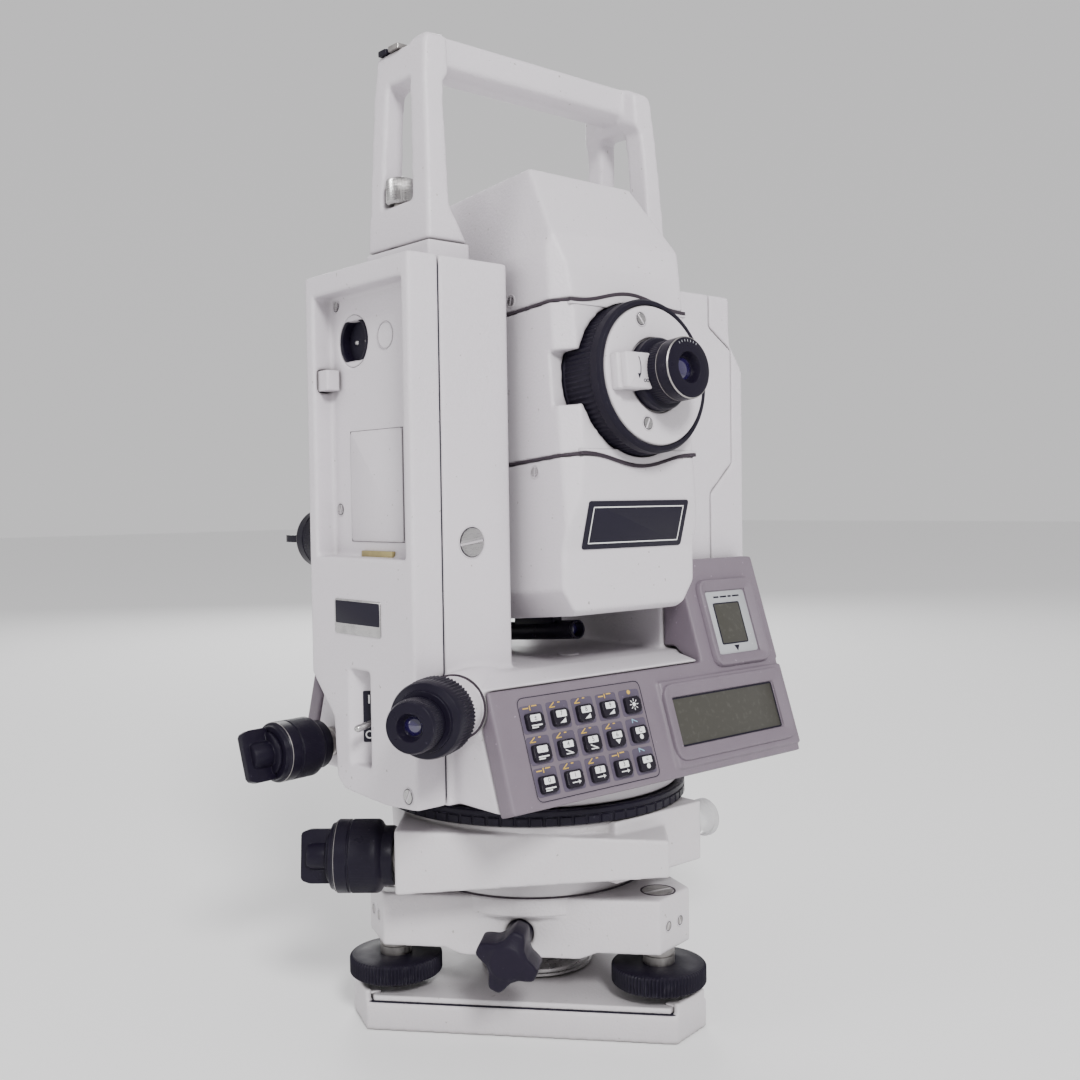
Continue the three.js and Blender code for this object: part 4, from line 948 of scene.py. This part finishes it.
def build_telescope():
    dress("telescope_body", PAINT, 0.6, 8)
    dress("telescope_upper_housing", PAINT, 0.6, 20)
    dress("telescope_lower_housing", PAINT, 0.6, 20)
    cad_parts["trunnion_axle"].data.materials[0] = STEEL
    for name, z in (("upper", 26.8), ("lower", -27.4)):
        band = soft([(x * 1.003, y * 1.002) for x, y in PLAN], 1.6, 3)
        piece = joined(f"{name}_gasket", [slab_mesh(band, z - 0.15, z + 0.75, 0.2, 2, True)], GASKET,
                       "telescope", SCOPE)
        hollow(piece, "ring_room")
        hollow(piece, "objective_room")
    eye = facing((0, 0, 0), FRONT, base=SCOPE)
    for sign, name in ((1, "upper"), (-1, "lower")):
        lower_line, upper_line = [], []
        for k in range(41):
            x = -29.5 + 59 * k / 40
            rise = 26.3 + 4.4 * (0.5 + 0.5 * cos(pi * x / 29.5)) ** 1.2
            lower_line.append((x, sign * rise))
            upper_line.append((x, sign * (rise + 1.25)))
        skirt = [(-29.5, sign * 25.4), (29.5, sign * 25.4)] + lower_line[::-1]
        piece = joined(f"{name}_skirt", [slab_mesh(skirt, 58.4, 60.05, 0.15)], PAINT, "telescope", eye)
        hollow(piece, "ring_room")
        bow = lower_line + upper_line[::-1]
        piece = joined(f"{name}_gasket_bow", [slab_mesh(bow, 58.4, 60.2, 0.25)], GASKET, "telescope", eye)
        hollow(piece, "ring_room")
    ring = [(14, 46), (27.0, 46), (27.7, 46.6), (27.7, 51.6), (27.3, 52), (27.7, 52.4, 1), (27.7, 64.4, 1),
            (27.3, 64.8), (27.7, 65.2), (27.7, 68.4), (26.9, 69.5), (25.9, 69.8), (25.4, 69.6), (25.4, 61),
            (14, 61)]
    piece = lathe("focusing_ring_grip", ring, RUBBER, "focusing_ring", eye, 540, 90, 0.6)
    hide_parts("focusing_ring")
    plate = [(0, 46), (10, 46), (13.6, 47), (13.6, 61.4), (25.1, 61.4), (25.1, 69.3), (24.7, 70.0),
             (24.0, 70.12), (13.8, 70.12), (13.5, 69.8), (13.5, 69), (9, 69), (9, 62), (0, 62)]
    piece = lathe("eyepiece_plate_disc", plate, PAINT, "telescope", eye, 160)
    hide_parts("eyepiece_plate")
    step = soft([(-22.4, -6.3), (-8.2, -6.3), (-8.2, 6.3), (-22.4, 6.3)], 0.8, 3)
    tower = soft([(-20.6, -6.3), (-8.2, -6.3), (-8.2, 6.3), (-20.6, 6.3)], 0.8, 3)
    block = [slab_mesh(step, 69.6, 73.6, 0.6, 3), slab_mesh(tower, 70.0, 76.3, 0.7, 3)]
    joined("focus_block", block, PAINT, "telescope", eye)
    bend = [(-16.4 + 1.6 * cos(a), 0.6 + 3.9 * sin(a)) for a in (radians(d) for d in range(-60, 61, 12))]
    tip_x, tip_y = bend[0]
    arrow = stroke(bend, 0.35) + [[(tip_x - 0.9, tip_y + 0.9), (tip_x + 0.7, tip_y + 1.0),
                                   (tip_x - 0.3, tip_y - 0.9)]]
    marks("focus_arrow", arrow, INK, "telescope", shift(eye, 0.9, 0.6, 76.31))
    joined("focus_infinity", [text_mesh("∞", 3.2)], INK, "telescope", shift(eye, -11.6, -3.6, 76.32))
    for k, (x, z) in enumerate(((-5.6, 19.8), (-5.9, -17.4))):
        slotted_screw(f"plate_screw_{k + 1}", (x, -70.1, z), FRONT, 2.0, "telescope", (130, 60)[k], SCOPE)
    slotted_screw("housing_screw_upper", (-33.75, -33.0, 31.6), OUT_LEFT, 1.7, "telescope", 75, SCOPE)
    slotted_screw("housing_screw_lower", (-33.75, -39.5, -31.4), OUT_LEFT, 1.7, "telescope", 75, SCOPE)
    build_eyepiece(eye)
    build_objective()
    nameplate = facing((0, -54.85, -51.9), (0, -16.9, -6.1), base=SCOPE)
    slab("lower_plate", rect(51, 17.6, 1.0), -0.2, 0.45, INK, "telescope", nameplate, 0.2)
    border = [rect(46.4, 0.4, 0.1, 0, y) for y in (-6.6, 6.6)]
    border += [rect(0.4, 13.6, 0.1, x, 0) for x in (-23, 23)]
    marks("lower_plate_border", border, WHITE, "telescope", shift(nameplate, z=0.44))
    tube = facing((0, 0, -89.8), FRONT, base=SCOPE)
    barrel = [(0, -25), (3.2, -25), (3.7, -24.4), (3.7, 17.6), (3.4, 18), (3.7, 18.4), (3.7, 19.2),
              (3.0, 19.6), (2.7, 18.6), (2.5, 15), (0, 15)]
    piece = lathe("sight_tube_barrel", barrel, BLACK, "telescope", tube, 56)
    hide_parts("sight_tube")
    lathe("sight_tube_glass", [(0, 15), (2.5, 15), (2.2, 16.4), (0, 16.8)], LENS, "telescope", tube, 40)
    foot = slab_mesh(rect(5, 24, 1.0, 0, -4), -89, -83.8, 0.4)
    joined("sight_tube_foot", [foot], BLACK, "telescope", SCOPE @ Matrix.Rotation(pi, 4, "Z"))


CUTTERS = {}
ROOMS = {"ring_room": (28.2, 45, 95, -1), "objective_room": (29.4, 50, 95, 1)}


def hollow(piece, name):
    """Cuts a round room of the telescope out of a piece and applies the cut."""
    if name not in CUTTERS:
        radius, start, end, direction = ROOMS[name]
        mesh = lathe_mesh([(0, start), (radius, start), (radius, end), (0, end)], 96)
        mesh.transform(Matrix.Scale(MM, 4) @ facing((0, 0, 0), (0, direction, 0), base=SCOPE))
        cutter = bpy.data.objects.new(name, mesh)
        bpy.context.scene.collection.objects.link(cutter)
        CUTTERS[name] = cutter
    cut = piece.modifiers.new(name, "BOOLEAN")
    cut.operation, cut.solver, cut.object = "DIFFERENCE", "EXACT", CUTTERS[name]
    bpy.context.view_layer.update()
    mesh = bpy.data.meshes.new_from_object(piece.evaluated_get(bpy.context.evaluated_depsgraph_get()))
    piece.modifiers.clear()
    piece.data = mesh


def build_eyepiece(eye):
    body = "eyepiece"
    base = lathe_mesh([(0, 69.4), (12.6, 69.4), (13, 69.8), (13, 73.2), (12.4, 74), (11.2, 74.4), (0, 74.4)])
    for vertex in base.vertices:
        vertex.co.x = max(-11.4, vertex.co.x)
    grip = lathe_mesh([(0, 74), (10.9, 74), (11.0, 75, 1), (11.0, 79.6, 1), (10.7, 80), (10.7, 80.6),
                       (11.0, 81), (11.0, 85.2), (10.5, 85.9), (9.6, 86.2), (5.6, 86.2), (4.8, 84.6),
                       (4.4, 83), (0, 83)], 384, 64, 0.22)
    piece = joined("eyepiece_cup", [base, grip], BLACK, body, eye)
    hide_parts("eyepiece")
    rim = [(10.3, 85.4), (10.9, 85.35), (10.95, 85.5), (10.6, 85.85), (10.3, 85.8)]
    lathe("eyepiece_worn_rim", rim, STEEL_WORN, body, eye, 96)
    groove = [(10.5, 80.1), (10.8, 80.1), (10.8, 80.35), (10.5, 80.35)]
    lathe("eyepiece_groove", groove, STEEL_WORN, body, eye, 96)
    lathe("eyepiece_lens", [(0, 82.6), (4.5, 82.6), (3.4, 83.3), (1.6, 83.7), (0, 83.8)], LENS, body, eye, 64)
    ticks = []
    for i in range(-3, 4):
        tick = slab_mesh(rect(0.25, 0.8, 0.05, 0, 9.4), 86.18, 86.22, 0)
        tick.transform(Matrix.Rotation(radians(9 * i), 4, "Z"))
        ticks.append(tick)
    joined("eyepiece_ticks", ticks, LABEL, body, eye)


def build_objective():
    out = facing((0, 0, 0), (0, 1, 0), base=SCOPE)
    hood = [(26.6, 67.4), (28.2, 68.05), (29.05, 67.3), (29.05, 60.4), (28.6, 60.4), (26.4, 60.4)]
    lathe("objective_hood", hood, PAINT, "telescope", out, 128)
    barrel = [(22.6, 52.2), (22.85, 52.2), (22.85, 60), (23.4, 60.4), (23.2, 61.2), (24.0, 62), (23.8, 62.8),
              (24.8, 63.6), (24.6, 64.4), (25.6, 65.2), (26.6, 67.6), (26.3, 67.9), (22.3, 60.5)]
    lathe("objective_barrel", barrel, BLACK, "telescope", out, 128)
    glass = [(0, 54.2), (22.5, 54.2), (22.5, 56.6), (19, 58.6), (14, 60.2), (7, 61.4), (0, 61.8)]
    piece = lathe("objective_glass", glass, LENS, "telescope", out, 128, sharp=60)
    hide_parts("objective_lens")
    lathe("objective_retainer", [(20.8, 57.0), (22.7, 57.0), (22.7, 59.8), (21.6, 59.8), (20.8, 58.4)], BLACK,
          "telescope", out, 128)


build_camera()
build_stage()
build_tribrach()
build_lower_base()
build_clamp_pair("lower", (-48.9, -45, 68.1), (-1, 0, 0), 13.3, 1.2, 98.6, LOWER)
build_clamp_pair("upper", (-67.8, 42.4, 104.8), (-cos(radians(8)), -sin(radians(8)), 0), 11.4, 7, 107, WORLD)
build_clamp_pair("vertical", (-62.1, 33, 184.1), (0, 1, 0), 11.9, 3, 0, WORLD)
build_castings()
build_left_cover_details()
build_plummet()
build_panels()
build_tray()
build_handle()
build_telescope()
for cutter in CUTTERS.values():
    bpy.data.objects.remove(cutter)
